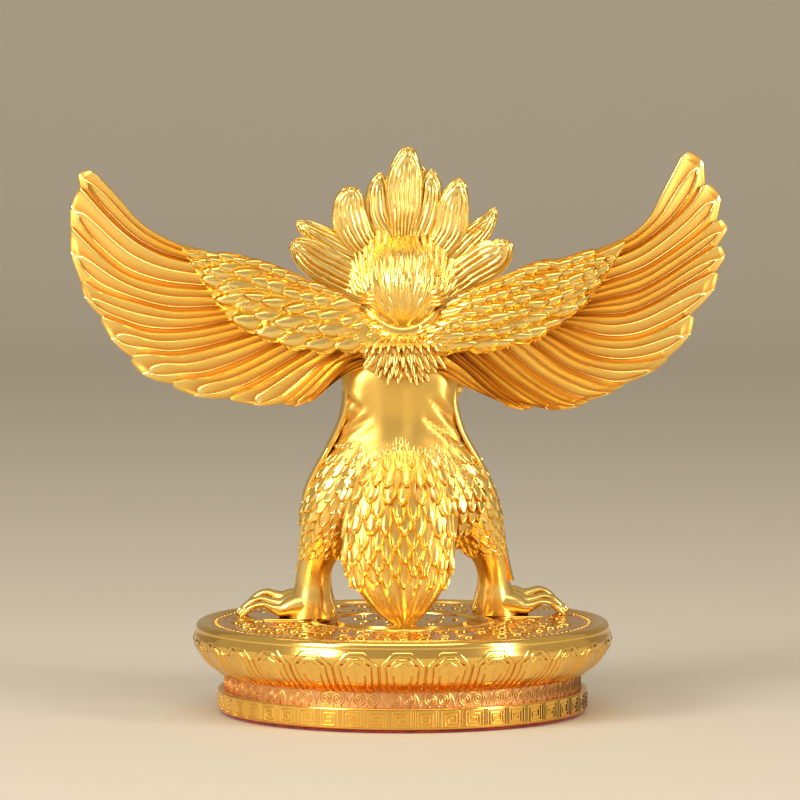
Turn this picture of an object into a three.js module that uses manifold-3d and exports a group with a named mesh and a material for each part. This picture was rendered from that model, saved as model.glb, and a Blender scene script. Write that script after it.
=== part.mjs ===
// Gilded garuda figurine on its round lotus plinth, in millimetres with +Z up.
// The origin is the centre of the underside. The figure faces -Y, so its back is towards +Y
// and its own left hand is towards +X.
import * as THREE from "three";
import { mergeVertices } from "three/addons/utils/BufferGeometryUtils.js";
import Module from "manifold-3d";

// Driving dimensions of the figure and its seat on the plinth
const FIGURE_HEIGHT = 72; // soles to the tip of the crest
const SEAT_CLEARANCE = 0.05; // under the soles and the tip of the tail

// Driving dimensions of the felt pad under the plinth
const PAD_THICKNESS = 0.5;
const PAD_INSET = 0.5; // from the edge of the base band
const PAD_CLEARANCE = 0.05;

// Driving dimensions of the plinth, from the base band up
const BASE_RADIUS = 28.1;
const BASE_TOP = 3.7;
const BASE_EDGE = 0.45; // chamfer on the base band's upper edge
const FRIEZE_INSET = 1.1; // how far the scroll frieze stands back from the base band
const FRIEZE_HEIGHT = 2.3;
const LOTUS_FOOT_OUTSET = 0.6; // how far the petals' feet stand proud of the frieze
const LOTUS_FLARE = 4.1; // how far the petals lean out from their feet to their widest
const LOTUS_HEIGHT = 6.9;
const PETALS = 28;
const PETAL_GROOVE = 0.8; // depth of the grooves between the petals
const PETAL_LEDGE = 0.55; // how far the petals' tips stand proud of the rim above them
const RIM_HEIGHT = 1.0;
const RIM_WIDTH = 2.3; // of the smooth rounded rim on the top
const RIM_SHOULDER = 0.7; // how far the rim's rounding runs in on either side
const TOP_SINK = 0.3; // how far the top face lies below the crest of the rim
const RING_RADIUS = 13.4; // raised ring round the middle of the top face
const RING_WIDTH = 1.0;
const RING_HEIGHT = 0.25; // of the ring, and of the flats that the figure stands on
const MOAT_WIDTH = 2.9; // polished groove inside that ring
const MOAT_DEPTH = 0.5;
const BOSS_SLOPE = 0.4; // run of the slope from the groove up to the boss in the middle
const SOLE_FLAT = { reach: 18.6, half: 7.4, breadth: 5.2, lead: 1.4 }; // flats under the feet

// Facets round the turned forms of the plinth
const TURNED_SIDES = 28;

// Places worked out from the driving dimensions
const BASE_BOTTOM = PAD_THICKNESS + PAD_CLEARANCE;
const FRIEZE_RADIUS = BASE_RADIUS - FRIEZE_INSET;
const FRIEZE_TOP = BASE_TOP + FRIEZE_HEIGHT;
const LOTUS_FOOT = FRIEZE_RADIUS + LOTUS_FOOT_OUTSET;
const LOTUS_RADIUS = LOTUS_FOOT + LOTUS_FLARE;
const LOTUS_TOP = FRIEZE_TOP + LOTUS_HEIGHT;
const RIM_TOP = LOTUS_TOP + RIM_HEIGHT;
const RIM_RADIUS = LOTUS_RADIUS - PETAL_LEDGE;
const TOP_FACE = RIM_TOP - TOP_SINK;
const SEAT = TOP_FACE + RING_HEIGHT;

// The figure's pose and carving are given in hundredths of its height: x to its left, y to
// its back, z up from the soles
const SHARE = FIGURE_HEIGHT / 100;

const wasm = await Module();
wasm.setup();

// Solids and meshes

// Turns a closed geometry into a solid whose faces point out
function solidOf(geometry) {
  const bare = geometry.clone();
  bare.deleteAttribute("normal");
  bare.deleteAttribute("uv");
  const merged = mergeVertices(bare, 1e-5);
  const build = (triVerts) =>
    new wasm.Manifold(
      new wasm.Mesh({
        numProp: 3,
        vertProperties: new Float32Array(merged.attributes.position.array),
        triVerts,
      })
    );
  const triangles = new Uint32Array(merged.index.array);
  const solid = build(triangles);
  return solid.volume() < 0 ? build(triangles.reverse()) : solid;
}

// Turns a solid back into a geometry for a mesh
function geometryOf(solid) {
  const { vertProperties, triVerts } = solid.getMesh();
  const geometry = new THREE.BufferGeometry();
  geometry.setAttribute("position", new THREE.BufferAttribute(vertProperties, 3));
  geometry.setIndex(new THREE.BufferAttribute(triVerts, 1));
  geometry.computeVertexNormals();
  return geometry;
}

// Joins solids in pairs, so that each join stays small
function joinAll(solids) {
  let layer = solids;
  while (layer.length > 1) {
    const next = [];
    for (let i = 0; i < layer.length; i += 2) {
      next.push(i + 1 < layer.length ? layer[i].add(layer[i + 1]) : layer[i]);
    }
    layer = next;
  }
  return layer[0];
}

// A casting has no sealed pockets: only the outer skin of a joined solid is kept
function outerSkin(solid) {
  const skins = solid.decompose();
  return skins.reduce((most, one) => (one.volume() > most.volume() ? one : most));
}

// Smooth curve through rows of numbers, each row evenly spaced in t from 0 to 1
function spline(rows) {
  const last = rows.length - 1;
  const row = (i) => rows[THREE.MathUtils.clamp(i, 0, last)];
  return (t) => {
    const i = Math.min(Math.floor(t * last), last - 1);
    const f = t * last - i;
    return row(i).map((p1, c) => {
      const [p0, p2, p3] = [row(i - 1)[c], row(i + 1)[c], row(i + 2)[c]];
      const bend = 2 * p0 - 5 * p1 + 4 * p2 - p3;
      const twist = 3 * p1 - p0 - 3 * p2 + p3;
      return p1 + 0.5 * f * (p2 - p0 + f * (bend + f * twist));
    });
  };
}

// Evenly spaced numbers from 0 to 1
const steps = (count) => Array.from({ length: count + 1 }, (_, i) => i / count);

// Closed skin through rings of points, given in shares of the figure; an end ring of one
// point is a tip, and any other end is closed flat. Its squares are split chequerwise, so
// that no edge joins two raised corners
function skin(rings) {
  const centre = (ring) =>
    ring.reduce((sum, p) => sum.add(p), new THREE.Vector3()).divideScalar(ring.length);
  const ends = [centre(rings[0]), centre(rings.at(-1))];
  const loops = rings.filter((ring) => ring.length > 1);
  const sides = loops[0].length;
  const points = [...loops.flat(), ...ends];
  const start = loops.length * sides;
  const index = [];
  for (let s = 0; s < sides; s++) {
    const n = (s + 1) % sides;
    for (let r = 0; r + 1 < loops.length; r++) {
      const [a, b] = [r * sides + s, r * sides + n];
      const [c, d] = [a + sides, b + sides];
      if ((r + s) % 2) index.push(a, b, d, a, d, c);
      else index.push(a, b, c, b, d, c);
    }
    const top = start - sides;
    index.push(start, n, s, start + 1, top + s, top + n);
  }
  const geometry = new THREE.BufferGeometry();
  const scaled = points.flatMap((p) => [p.x * SHARE, p.y * SHARE, p.z * SHARE]);
  geometry.setAttribute("position", new THREE.Float32BufferAttribute(scaled, 3));
  geometry.setIndex(index);
  return solidOf(geometry);
}

const vec = (x, y, z) => new THREE.Vector3(x, y, z);

// Body forms as stacks of level ellipses: rows of x, y, z, half width, half depth

// Point and outward normal on a stack at share t of its rows and at an angle from its left
function onStack(stack, t, angle) {
  const at = (share, turn) => {
    const [x, y, z, a, b] = stack(share);
    return vec(x + a * Math.cos(turn), y + b * Math.sin(turn), z);
  };
  const point = at(t, angle);
  const down = at(Math.min(t + 0.02, 1), angle).sub(at(Math.max(t - 0.02, 0), angle)).normalize();
  const round = at(t, angle + 0.05).sub(at(t, angle - 0.05)).normalize();
  const normal = round.clone().cross(down).normalize();
  const [x, y] = stack(t);
  if (normal.dot(vec(point.x - x, point.y - y, 0)) < 0) normal.negate();
  return { point, normal, down };
}

// Tube along a path of rows x, y, z, half width, half height; its width lies level
function tubeSolid(rows, levels, sides) {
  const path = spline(rows);
  const rings = steps(levels).map((t) => {
    const [x, y, z, a, b] = path(t);
    const ahead = vec(...path(Math.min(t + 0.01, 1)));
    const along = ahead.sub(vec(...path(Math.max(t - 0.01, 0)))).normalize();
    const across = vec(-along.y, along.x, 0).normalize();
    const over = along.clone().cross(across).normalize();
    return steps(sides)
      .slice(0, -1)
      .map((s) => {
        const turn = 2 * Math.PI * s;
        return vec(x, y, z)
          .addScaledVector(across, a * Math.cos(turn))
          .addScaledVector(over, b * Math.sin(turn));
      });
  });
  return skin(rings);
}

// Body form in which a band of rows carries pointed scales: in the band, every other corner of
// the grid stands out and down, so that it is the tip of a scale over the next row
function scaledStack(stack, { levels, sides, from, to, rows, lift, face }) {
  const band = steps(2 * rows).map((share) => from + (to - from) * share);
  const gap = (to - from) / (2 * rows);
  const above = steps(Math.max(Math.round(from * levels), 1)).map((share) => from * share);
  const below = steps(Math.max(Math.round((1 - to) * levels), 1)).map((share) => to + (1 - to) * share);
  const shares = [...above.slice(0, -1), ...band, ...below.slice(1)];
  const first = above.length - 1;
  const rings = shares.map((t, i) =>
    steps(sides)
      .slice(0, -1)
      .map((s, j) => {
        const angle = 2 * Math.PI * s;
        const inBand = i > first && i < first + band.length - 1;
        const tip = inBand && (i + j) % 2 === 0 && Math.sin(angle) > face;
        const { point, normal } = onStack(stack, tip ? t + 0.45 * gap : t, angle);
        return tip ? point.addScaledVector(normal, lift) : point;
      })
  );
  return skin(rings);
}

// Trunk, hips, thighs, shanks and tail

const TRUNK = spline([
  [0, -0.5, 62, 5.2, 4.6],
  [0, 0.2, 57.5, 8.6, 5.6],
  [0.3, 0.4, 52.5, 11.2, 6.4],
  [0.4, 0.2, 47.5, 10.6, 6.4],
  [0.4, 0, 42.5, 9.7, 6.0],
  [0.3, 0.2, 37.5, 11.2, 6.6],
  [0.2, 0.3, 32.5, 15.2, 8.4],
  [0, 0, 27, 17.2, 9.2],
  [0, -0.6, 21.5, 15.6, 8.8],
  [0, -1.2, 16, 10.5, 6.4],
  [0, -1.4, 12.5, 4.5, 3.2],
]);

// Each leg runs from the hip to the foot; the right foot is set a little further forward
const LEFT_LEG = spline([
  [6.5, 0, 41, 3.4, 4.6],
  [9.2, -0.6, 35.5, 6.4, 6.8],
  [11.4, -1.8, 29.8, 7.5, 8.2],
  [13.2, -3.0, 24.4, 7.7, 8.6],
  [14.6, -4.0, 19.4, 6.7, 7.8],
  [16.4, -4.8, 15.0, 5.3, 6.2],
  [18.4, -5.2, 11.2, 3.9, 4.5],
  [18.9, -5.6, 7.2, 3.9, 4.1],
  [19.0, -6.0, 3.4, 4.7, 4.6],
  [19.2, -6.2, 0, 5.4, 4.6],
]);
const RIGHT_LEG = spline([
  [-6.2, 0, 41, 3.4, 4.6],
  [-8.8, -1.4, 35.5, 6.4, 6.8],
  [-11.0, -3.6, 29.8, 7.3, 8.2],
  [-12.8, -6.0, 24.4, 7.4, 8.6],
  [-14.6, -8.0, 19.4, 6.5, 7.8],
  [-16.8, -9.4, 15.0, 5.0, 6.0],
  [-18.8, -10.2, 11.2, 3.7, 4.3],
  [-19.4, -11.0, 7.2, 3.5, 3.9],
  [-19.6, -11.6, 3.4, 4.4, 4.4],
  [-19.8, -12.0, 0, 5.2, 4.4],
]);

const TAIL = spline([
  [0, 2.5, 38, 6.5, 4.4],
  [0.2, 5.2, 32, 9.6, 5.0],
  [0.4, 7.0, 26, 11.0, 5.0],
  [0.7, 8.2, 20, 11.4, 4.5],
  [0.8, 9.0, 14, 11.2, 3.9],
  [0.6, 9.6, 8.5, 9.4, 3.1],
  [0.2, 10.0, 3.6, 5.2, 2.0],
  [-0.3, 10.1, 0, 1.2, 0.9],
]);

// Foot: three arched toes run out to the side, and a short spur turns in
const FEET = [
  { side: 1, x: 19.2, y: -6.2 },
  { side: -1, x: -19.8, y: -12 },
];

// Height of a toe's axis and its half thickness at shares of its reach
const TOE_ARCH = [
  [0, 3.2, 3.0],
  [0.3, 2.7, 2.4],
  [0.5, 3.6, 1.5],
  [0.75, 4.4, 1.2],
  [0.93, 3.0, 1.1],
  [1.0, 1.4, 0.85],
  [0.99, 0.45, 0.42],
];

function toeSolid(from, to) {
  const rows = TOE_ARCH.map(([share, height, half]) => [
    THREE.MathUtils.lerp(from[0], to[0], share),
    THREE.MathUtils.lerp(from[1], to[1], share),
    height,
    half,
    half,
  ]);
  return tubeSolid(rows, 5, 5);
}

function footSolids(side, x, y) {
  const toes = [
    [33.4, 2.2],
    [34.2, -2.4],
    [31.2, -6.6],
  ];
  const solids = toes.map(([reach, set], i) => toeSolid([x, y + 1.6 - 1.7 * i], [side * reach, y + set]));
  for (const set of [1.6, -1.8]) {
    const spur = [
      [x, y + set * 0.4, 3.6, 2.4, 2.4],
      [x - side * 2.6, y + set * 0.8, 2.8, 1.5, 1.5],
      [x - side * 4.6, y + set, 0.75, 0.75, 0.75],
    ];
    solids.push(tubeSolid(spur, 2, 5));
  }
  return solids;
}

// Wings: a shoulder blade that carries the coverts, and long feathers that fan out of it

// The sheet that a wing lies in bows a little towards the back and comes forward at its tip
const wingDepth = (x) => 5.5 + 0.1 * (Math.abs(x) - 7) - 0.0026 * (Math.abs(x) - 7) ** 2;

// Every wing has rows of x, z: the tip of each long feather from the leading edge inwards,
// the line of their feet, the leading edge, and the lower edge of the shoulder
const WINGS = [
  {
    tips: [
      [62.0, 92.8],
      [65.4, 95.0],
      [69.4, 89.8],
      [69.9, 80.0],
      [67.9, 71.6],
      [64.0, 63.6],
      [57.2, 56.0],
      [48.0, 49.4],
      [36.6, 46.6],
      [26.0, 46.0],
      [19.0, 46.8],
      [13.6, 50.8],
      [9.0, 53.0],
    ],
    feet: [
      [40.0, 78.0],
      [38.0, 69.0],
      [31.0, 62.5],
      [20.0, 59.5],
      [6.0, 57.5],
    ],
    top: [
      [5, 62],
      [12, 66.6],
      [19, 70.6],
      [25.7, 74.6],
      [34.3, 77.2],
      [40.3, 78.3],
      [46, 79.9],
    ],
    bottom: [
      [5, 55],
      [12.1, 56.1],
      [18.3, 56.9],
      [24.6, 57.6],
      [31.5, 60.4],
      [38.5, 65.6],
      [46, 78.4],
    ],
    sag: 6.4,
  },
  {
    tips: [
      [-57.6, 96.6],
      [-60.1, 99.0],
      [-65.4, 91.8],
      [-67.9, 82.0],
      [-66.6, 72.4],
      [-61.8, 63.6],
      [-54.6, 54.2],
      [-46.0, 48.4],
      [-35.6, 44.4],
      [-27.2, 44.9],
      [-20.0, 46.2],
      [-13.4, 49.8],
      [-9.0, 52.5],
    ],
    feet: [
      [-40.0, 77.0],
      [-37.0, 68.0],
      [-30.0, 62.0],
      [-19.0, 59.5],
      [-6.0, 57.5],
    ],
    top: [
      [-5, 62],
      [-12, 67.0],
      [-21.7, 73.0],
      [-28.6, 75.6],
      [-34, 76.8],
      [-40.3, 77.2],
      [-46.2, 80.4],
    ],
    bottom: [
      [-5, 55],
      [-12, 56.2],
      [-18.9, 57.1],
      [-25, 57.3],
      [-32, 60.2],
      [-39, 65.8],
      [-46, 78.2],
    ],
    sag: 6.6,
  },
];

// Section of one long feather from its raised upper edge over its rib to the lower edge, which
// lies under the next feather: share of its breadth and of the relief
const FEATHER_SECTION = [
  [0.08, 1],
  [0.44, 0.5],
  [0.9, 0],
];

// How far a feather's rounded tip draws back at the edges of its breadth, as a share of length
const TIP_ROUNDING = 0.08;

// How far the fan stands behind and in front of the sheet, and the relief on either face
const FAN_BACK = { side: 1, base: 0.35, relief: 1.35 };
const FAN_FRONT = { side: -1, base: 0.75, relief: 0.5 };

// Shares of a long feather's length where its sections stand, on its back and its plainer front
const BACK_STATIONS = [0, 0.35, 0.65, 0.88, 1];
const FRONT_STATIONS = [1, 0.6, 0];

// Point of the fan of long feathers at row k, where whole numbers and a half are feather
// middles, and at share t from foot to tip; it hangs below the straight line between them by
// a sag that fades from the leading edge inwards
function fanPoint(wing, k, t) {
  const last = wing.tips.length - 1;
  const [fx, fz] = spline(wing.feet)(k / last);
  const [tx, tz] = spline(wing.tips)(k / last);
  const [dx, dz] = [tx - fx, tz - fz];
  const bow = 4 * t * (1 - t) * (0.65 + 0.35 * t);
  const hang = (wing.sag * (1 - k / last) ** 1.2 * bow) / Math.hypot(dx, dz);
  const side = Math.sign(wing.tips[0][0]);
  return [fx + dx * t + side * dz * hang, fz + dz * t - side * dx * hang];
}

// The fan of long feathers: one plate whose edge is scalloped by the feathers' rounded tips
function fanSolid(wing) {
  const feathers = wing.tips.length - 2;
  const columns = [];
  for (let k = 0; k < feathers; k++) {
    for (const [share, height] of FEATHER_SECTION) {
      columns.push({ row: k + 0.5 + share, height, off: 2 * share - 1 });
    }
  }
  const rings = columns.map(({ row, height, off }) => {
    const point = (t, face) => {
      const [x, z] = fanPoint(wing, row, t * (1 - TIP_ROUNDING * off ** 2));
      const relief = height * (1 - 0.45 * t);
      return vec(x, wingDepth(x) + face.side * (face.base + face.relief * relief), z);
    };
    const back = BACK_STATIONS.map((t) => point(t, FAN_BACK));
    return [...back, ...FRONT_STATIONS.map((t) => point(t, FAN_FRONT))];
  });
  return skin(rings);
}

// Half thickness of the shoulder at share t from its root
const shoulderHalf = (t) => THREE.MathUtils.lerp(3.4, 1.5, Math.sqrt(t));

// The shoulder and its coverts: small feathers whose tips stand out over the next row
function shoulderSolid(wing) {
  const top = spline(wing.top);
  const bottom = spline(wing.bottom);
  const levels = 11;
  const around = 12;
  const rings = steps(levels).map((t, i) => {
    const [[tx, tz], [bx, bz]] = [top(t), bottom(t)];
    return steps(around)
      .slice(0, -1)
      .map((s, j) => {
        const turn = 2 * Math.PI * s;
        const share = 0.5 + 0.5 * Math.cos(turn);
        const covert = i > 0 && i < levels && j > 0 && j < around / 2 && (i + j) % 2 === 0;
        const x = THREE.MathUtils.lerp(bx, tx, share);
        const z = THREE.MathUtils.lerp(bz, tz, share);
        const out = covert ? 0.9 : 0;
        return vec(x + Math.sign(x) * out * 1.2, wingDepth(x) + shoulderHalf(t) * Math.sin(turn) + out, z);
      });
  });
  return skin(rings);
}

// Head, crest and face

const HEAD = { x: 0, y: -1.2, z: 71, across: 9, deep: 9.2, tall: 9.4 };

function ellipsoid(x, y, z, a, b, c, around, up) {
  const ball = new THREE.SphereGeometry(1, around, up);
  ball.rotateX(Math.PI / 2);
  ball.scale(a * SHARE, b * SHARE, c * SHARE);
  ball.translate(x * SHARE, y * SHARE, z * SHARE);
  return solidOf(ball);
}

// Lobes of the crest: x and z of the tip, half width, and depth of the tip behind the head
const LOBES = [
  [20.6, 74.0, 4.2, -0.4],
  [23.0, 78.4, 3.9, 1.6],
  [21.9, 84.0, 3.1, 0.6],
  [15.0, 84.4, 3.2, -0.2],
  [10.4, 91.4, 4.2, 1.6],
  [4.4, 94.6, 3.2, 0.4],
  [-1.1, 100, 4.2, 2.2],
  [-6.2, 95.0, 3.2, 0.6],
  [-11.4, 93.2, 3.9, 1.8],
  [-15.2, 84.6, 3.2, -0.2],
  [-19.2, 86.9, 3.4, 0.8],
  [-22.1, 80.0, 3.9, 1.6],
  [-21.4, 74.6, 4.2, -0.4],
];

// Section of a lobe: two ridges and the flute between them on its back, one on its front
const LOBE_SECTION = [
  [1, 0],
  [0.5, 0.78],
  [0, 0.55],
  [-0.5, 0.78],
  [-1, 0],
  [0, -0.85],
];

// Share of a lobe's length, and its half width as a share of the widest
const LOBE_STATIONS = [
  [0.3, 0.82],
  [0.72, 1],
  [0.92, 0.58],
];

function lobeSolid([tx, tz, half, depth]) {
  const root = vec(HEAD.x, HEAD.y - 0.5, HEAD.z + 1);
  const tip = vec(tx, depth, tz);
  const along = tip.clone().sub(root).normalize();
  const across = vec(along.z, 0, -along.x).normalize();
  const over = across.clone().cross(along).normalize();
  const curl = vec(0, tz > 88 ? 0 : -1, 0);
  const rings = LOBE_STATIONS.map(([t, w]) =>
    LOBE_SECTION.map(([s, h]) =>
      root
        .clone()
        .lerp(tip, t)
        .addScaledVector(curl, Math.sin(Math.PI * t) * 0.5)
        .addScaledVector(across, s * w * half)
        .addScaledVector(over, h * (1.9 - 1.0 * t))
    )
  );
  return skin([[root], ...rings, [tip]]);
}

function faceSolids() {
  const solids = [];
  const beak = [
    [0, -8.6, 70.4, 3.2, 2.6],
    [0, -12.4, 69.6, 2.5, 2.2],
    [0, -15.2, 67.4, 1.4, 1.4],
    [0, -15.9, 64.8, 0.4, 0.5],
  ];
  solids.push(tubeSolid(beak, 5, 6));
  solids.push(ellipsoid(0, -9.6, 66.6, 3.2, 3.0, 1.5, 6, 4));
  for (const side of [-1, 1]) {
    solids.push(ellipsoid(side * 4.3, -8.6, 72.6, 1.7, 1.4, 1.4, 6, 4));
    const brow = [
      [side * 1.0, -10.6, 73.2, 0.9, 0.9],
      [side * 4.4, -10.2, 74.9, 1.0, 0.9],
      [side * 7.6, -6.6, 75.2, 0.7, 0.7],
    ];
    solids.push(tubeSolid(brow, 3, 5));
    solids.push(ellipsoid(side * 8.9, -3.4, 69.6, 1.3, 1.8, 3.0, 6, 4));
  }
  return solids;
}

// Hair below the head, on the nape between the wings: a swelling whose locks hang in points
function napeSolid() {
  const nape = spline([
    [0, 4.6, 63.5, 5.0, 2.6],
    [0, 5.4, 60, 8.2, 3.6],
    [0, 5.4, 56.5, 8.8, 3.2],
    [0, 5.2, 52.8, 8.2, 2.0],
  ]);
  const locks = { levels: 1, sides: 16, from: 0.12, to: 0.96, rows: 2, lift: 0.8, face: 0.2 };
  return scaledStack(nape, locks);
}

// Arms bent in front with the palms together, sashes down the sides, and a necklace

function armSolids() {
  const solids = [];
  for (const side of [-1, 1]) {
    const arm = [
      [side * 8.6, -0.6, 54, 3.0, 3.0],
      [side * 9.4, -3.6, 48.5, 2.6, 2.6],
      [side * 8.6, -7.6, 44.4, 2.4, 2.4],
      [side * 5.2, -10.8, 46.6, 2.0, 2.0],
      [side * 1.8, -12.6, 50.6, 1.6, 1.7],
      [side * 1.0, -13.2, 54.6, 1.3, 1.7],
      [side * 0.8, -13.6, 58.4, 0.6, 1.0],
    ];
    solids.push(tubeSolid(arm, 7, 5));
  }
  return solids;
}

// Each row has x and half width of the cloth beside the waist, then y, z and half thickness
const SASHES = [
  [
    [10.6, 2.0, 0.6, 50, 1.0],
    [10.8, 2.4, -0.6, 45, 0.9],
    [11.6, 2.9, -1.6, 40, 0.9],
    [13.4, 3.2, -2.4, 35, 0.9],
    [16.0, 3.0, -3.0, 30, 0.9],
    [18.4, 2.4, -3.6, 25.6, 0.7],
  ],
  [
    [-9.6, 1.8, 0.6, 50, 1.0],
    [-9.8, 2.1, -0.6, 45, 0.9],
    [-10.8, 2.7, -1.6, 40, 0.9],
    [-12.8, 3.2, -2.4, 35, 0.9],
    [-15.6, 3.2, -3.0, 30, 0.9],
    [-17.8, 2.5, -3.6, 25.6, 0.7],
  ],
];

function sashSolid(rows) {
  const path = spline(rows);
  const rings = steps(5).map((t) => {
    const [x, half, y, z, thick] = path(t);
    return steps(6)
      .slice(0, -1)
      .map((s) => {
        const turn = 2 * Math.PI * s;
        return vec(x + half * Math.cos(turn), y + thick * 2 * Math.sin(turn), z);
      });
  });
  return skin(rings);
}

function necklaceSolid() {
  const collar = steps(6).map((s) => {
    const turn = Math.PI * (1.06 + 0.88 * s);
    return [7.6 * Math.cos(turn), 6.2 * Math.sin(turn), 59 - 3.6 * Math.sin(Math.PI * s), 0.9, 0.9];
  });
  return tubeSolid(collar, 6, 5);
}

// The whole figure is one casting
function figureSolid() {
  const hips = { levels: 11, sides: 18, from: 0.47, to: 0.8, rows: 4, lift: 0.9, face: -1.1 };
  const thigh = { levels: 8, sides: 12, from: 0.06, to: 0.66, rows: 6, lift: 0.8, face: -1.1 };
  const feathered = { levels: 6, sides: 16, from: 0.06, to: 0.82, rows: 6, lift: 0.9, face: 0 };
  const bodies = [
    scaledStack(TRUNK, hips),
    scaledStack(LEFT_LEG, thigh),
    scaledStack(RIGHT_LEG, thigh),
    scaledStack(TAIL, feathered),
    napeSolid(),
  ];
  const wings = WINGS.flatMap((wing) => [fanSolid(wing), shoulderSolid(wing)]);
  const feet = FEET.flatMap(({ side, x, y }) => footSolids(side, x, y));
  const head = ellipsoid(HEAD.x, HEAD.y, HEAD.z, HEAD.across, HEAD.deep, HEAD.tall, 14, 8);
  const crest = LOBES.map(lobeSolid);
  const front = [...faceSolids(), ...armSolids(), necklaceSolid(), ...SASHES.map(sashSolid)];
  return outerSkin(joinAll([...bodies, ...wings, ...feet, head, ...crest, ...front]));
}

// Plinth

// Profile of the turned forms, from the middle of the underside to the middle of the top
function turnedProfile() {
  const rimInside = RIM_RADIUS - RIM_WIDTH;
  const ringInside = RING_RADIUS - RING_WIDTH / 2;
  const boss = ringInside - MOAT_WIDTH;
  return [
    [0, BASE_BOTTOM],
    [BASE_RADIUS, BASE_BOTTOM],
    [BASE_RADIUS, BASE_TOP - BASE_EDGE],
    [BASE_RADIUS - BASE_EDGE, BASE_TOP],
    [FRIEZE_RADIUS, BASE_TOP],
    [FRIEZE_RADIUS, FRIEZE_TOP + BASE_EDGE],
    [RIM_RADIUS - RIM_SHOULDER, LOTUS_TOP - RIM_HEIGHT / 2],
    [RIM_RADIUS, LOTUS_TOP + RIM_HEIGHT / 2],
    [RIM_RADIUS - RIM_SHOULDER, RIM_TOP],
    [rimInside + RIM_SHOULDER, RIM_TOP],
    [rimInside, TOP_FACE],
    [RING_RADIUS + RING_WIDTH / 2, TOP_FACE],
    [RING_RADIUS, SEAT],
    [ringInside, TOP_FACE - MOAT_DEPTH],
    [boss, TOP_FACE - MOAT_DEPTH],
    [boss - BOSS_SLOPE, SEAT],
    [0, SEAT],
  ];
}

// Columns across one petal, from the groove on its left over its crown: share of the groove's
// depth, and the share of the drum's height at which the petal's bevelled edge stands
const PETAL_COLUMNS = [
  [1, 0.64],
  [0, 0.97],
  [0, 0.97],
];

// How far the drum leans out at shares of its height
const PETAL_FLARE = spline([[0], [0.52], [0.84], [1], [0.92]]);

// Ring of lotus petals on a drum that leans out as it rises: their tips, with both corners cut
// off, stand proud of the rim above them
function petalDrum() {
  const perPetal = PETAL_COLUMNS.length;
  const columns = PETALS * perPetal;
  const bands = (edge) => [
    [0, 0, 0.5],
    [edge * 0.45, 0, 1],
    [edge, 0, 1],
    [edge + 0.02, PETAL_LEDGE, 0],
    [1.04, PETAL_LEDGE, 0],
  ];
  const rows = bands(0).length;
  const points = [];
  for (let r = 0; r < rows; r++) {
    for (let c = 0; c < columns; c++) {
      const turn = (2 * Math.PI * c) / columns;
      const [groove, edge] = PETAL_COLUMNS[c % perPetal];
      const [rise, ledge, depth] = bands(edge)[r];
      const [flare] = PETAL_FLARE(Math.min(rise, 1));
      const radius = LOTUS_FOOT + LOTUS_FLARE * flare - ledge - groove * depth * PETAL_GROOVE;
      points.push(radius * Math.cos(turn), radius * Math.sin(turn), FRIEZE_TOP + LOTUS_HEIGHT * rise);
    }
  }
  points.push(0, 0, FRIEZE_TOP, 0, 0, FRIEZE_TOP + LOTUS_HEIGHT * bands(0)[rows - 1][0]);
  const index = [];
  const [low, high] = [rows * columns, rows * columns + 1];
  for (let c = 0; c < columns; c++) {
    const n = (c + 1) % columns;
    for (let r = 0; r + 1 < rows; r++) {
      const [a, b] = [r * columns + c, r * columns + n];
      index.push(a, b, a + columns, b, b + columns, a + columns);
    }
    const top = (rows - 1) * columns;
    index.push(low, n, c, high, top + c, top + n);
  }
  const geometry = new THREE.BufferGeometry();
  geometry.setAttribute("position", new THREE.Float32BufferAttribute(points, 3));
  geometry.setIndex(index);
  return solidOf(geometry);
}

// Flat under one foot, at the level of the ring
function soleFlat(side, y) {
  const disc = new THREE.CylinderGeometry(1, 1, RING_HEIGHT + MOAT_DEPTH, 14);
  disc.rotateX(Math.PI / 2);
  disc.scale(SOLE_FLAT.half, SOLE_FLAT.breadth, 1);
  disc.translate(side * SOLE_FLAT.reach, y * SHARE - SOLE_FLAT.lead, SEAT - (RING_HEIGHT + MOAT_DEPTH) / 2);
  return solidOf(disc);
}

function turnedSolid(profile) {
  const lathe = new THREE.LatheGeometry(
    profile.map(([r, z]) => new THREE.Vector2(r, z)),
    TURNED_SIDES
  );
  lathe.rotateX(Math.PI / 2);
  return solidOf(lathe);
}

// Meshes, each with the colour and finish of its own metal or cloth

const gold = new THREE.MeshStandardMaterial({ color: 0xe3ab3e, roughness: 0.26, metalness: 1 });
const polishedGold = new THREE.MeshStandardMaterial({ color: 0xe6ae44, roughness: 0.16, metalness: 1 });
const felt = new THREE.MeshStandardMaterial({ color: 0x8f1f1c, roughness: 0.95, metalness: 0 });

function namedMesh(name, geometry, material, height) {
  const mesh = new THREE.Mesh(geometry, material);
  mesh.name = name;
  mesh.position.z = height;
  return mesh;
}

const padProfile = [
  [0, 0],
  [BASE_RADIUS - PAD_INSET, 0],
  [BASE_RADIUS - PAD_INSET, PAD_THICKNESS],
  [0, PAD_THICKNESS],
];
const flats = FEET.map(({ side, y }) => soleFlat(side, y));
const plinth = joinAll([turnedSolid(turnedProfile()), petalDrum(), ...flats]);

const figurine = new THREE.Group();
figurine.add(
  namedMesh("garuda_figure", geometryOf(figureSolid()), gold, SEAT + SEAT_CLEARANCE),
  namedMesh("lotus_plinth", geometryOf(plinth), polishedGold, 0),
  namedMesh("felt_pad", geometryOf(turnedSolid(padProfile)), felt, 0)
);

export default figurine;
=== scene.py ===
"""Looks of a small gilded garuda figurine on its lotus plinth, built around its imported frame.

Every length that a table gives for the figure is a hundredth of its height, measured from the
soles: x to its own left, y to its back, z up. The plinth's lengths are millimetres.
"""

import logging
import math
from collections.abc import Iterable
from dataclasses import dataclass, field, replace
from enum import Enum

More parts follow.
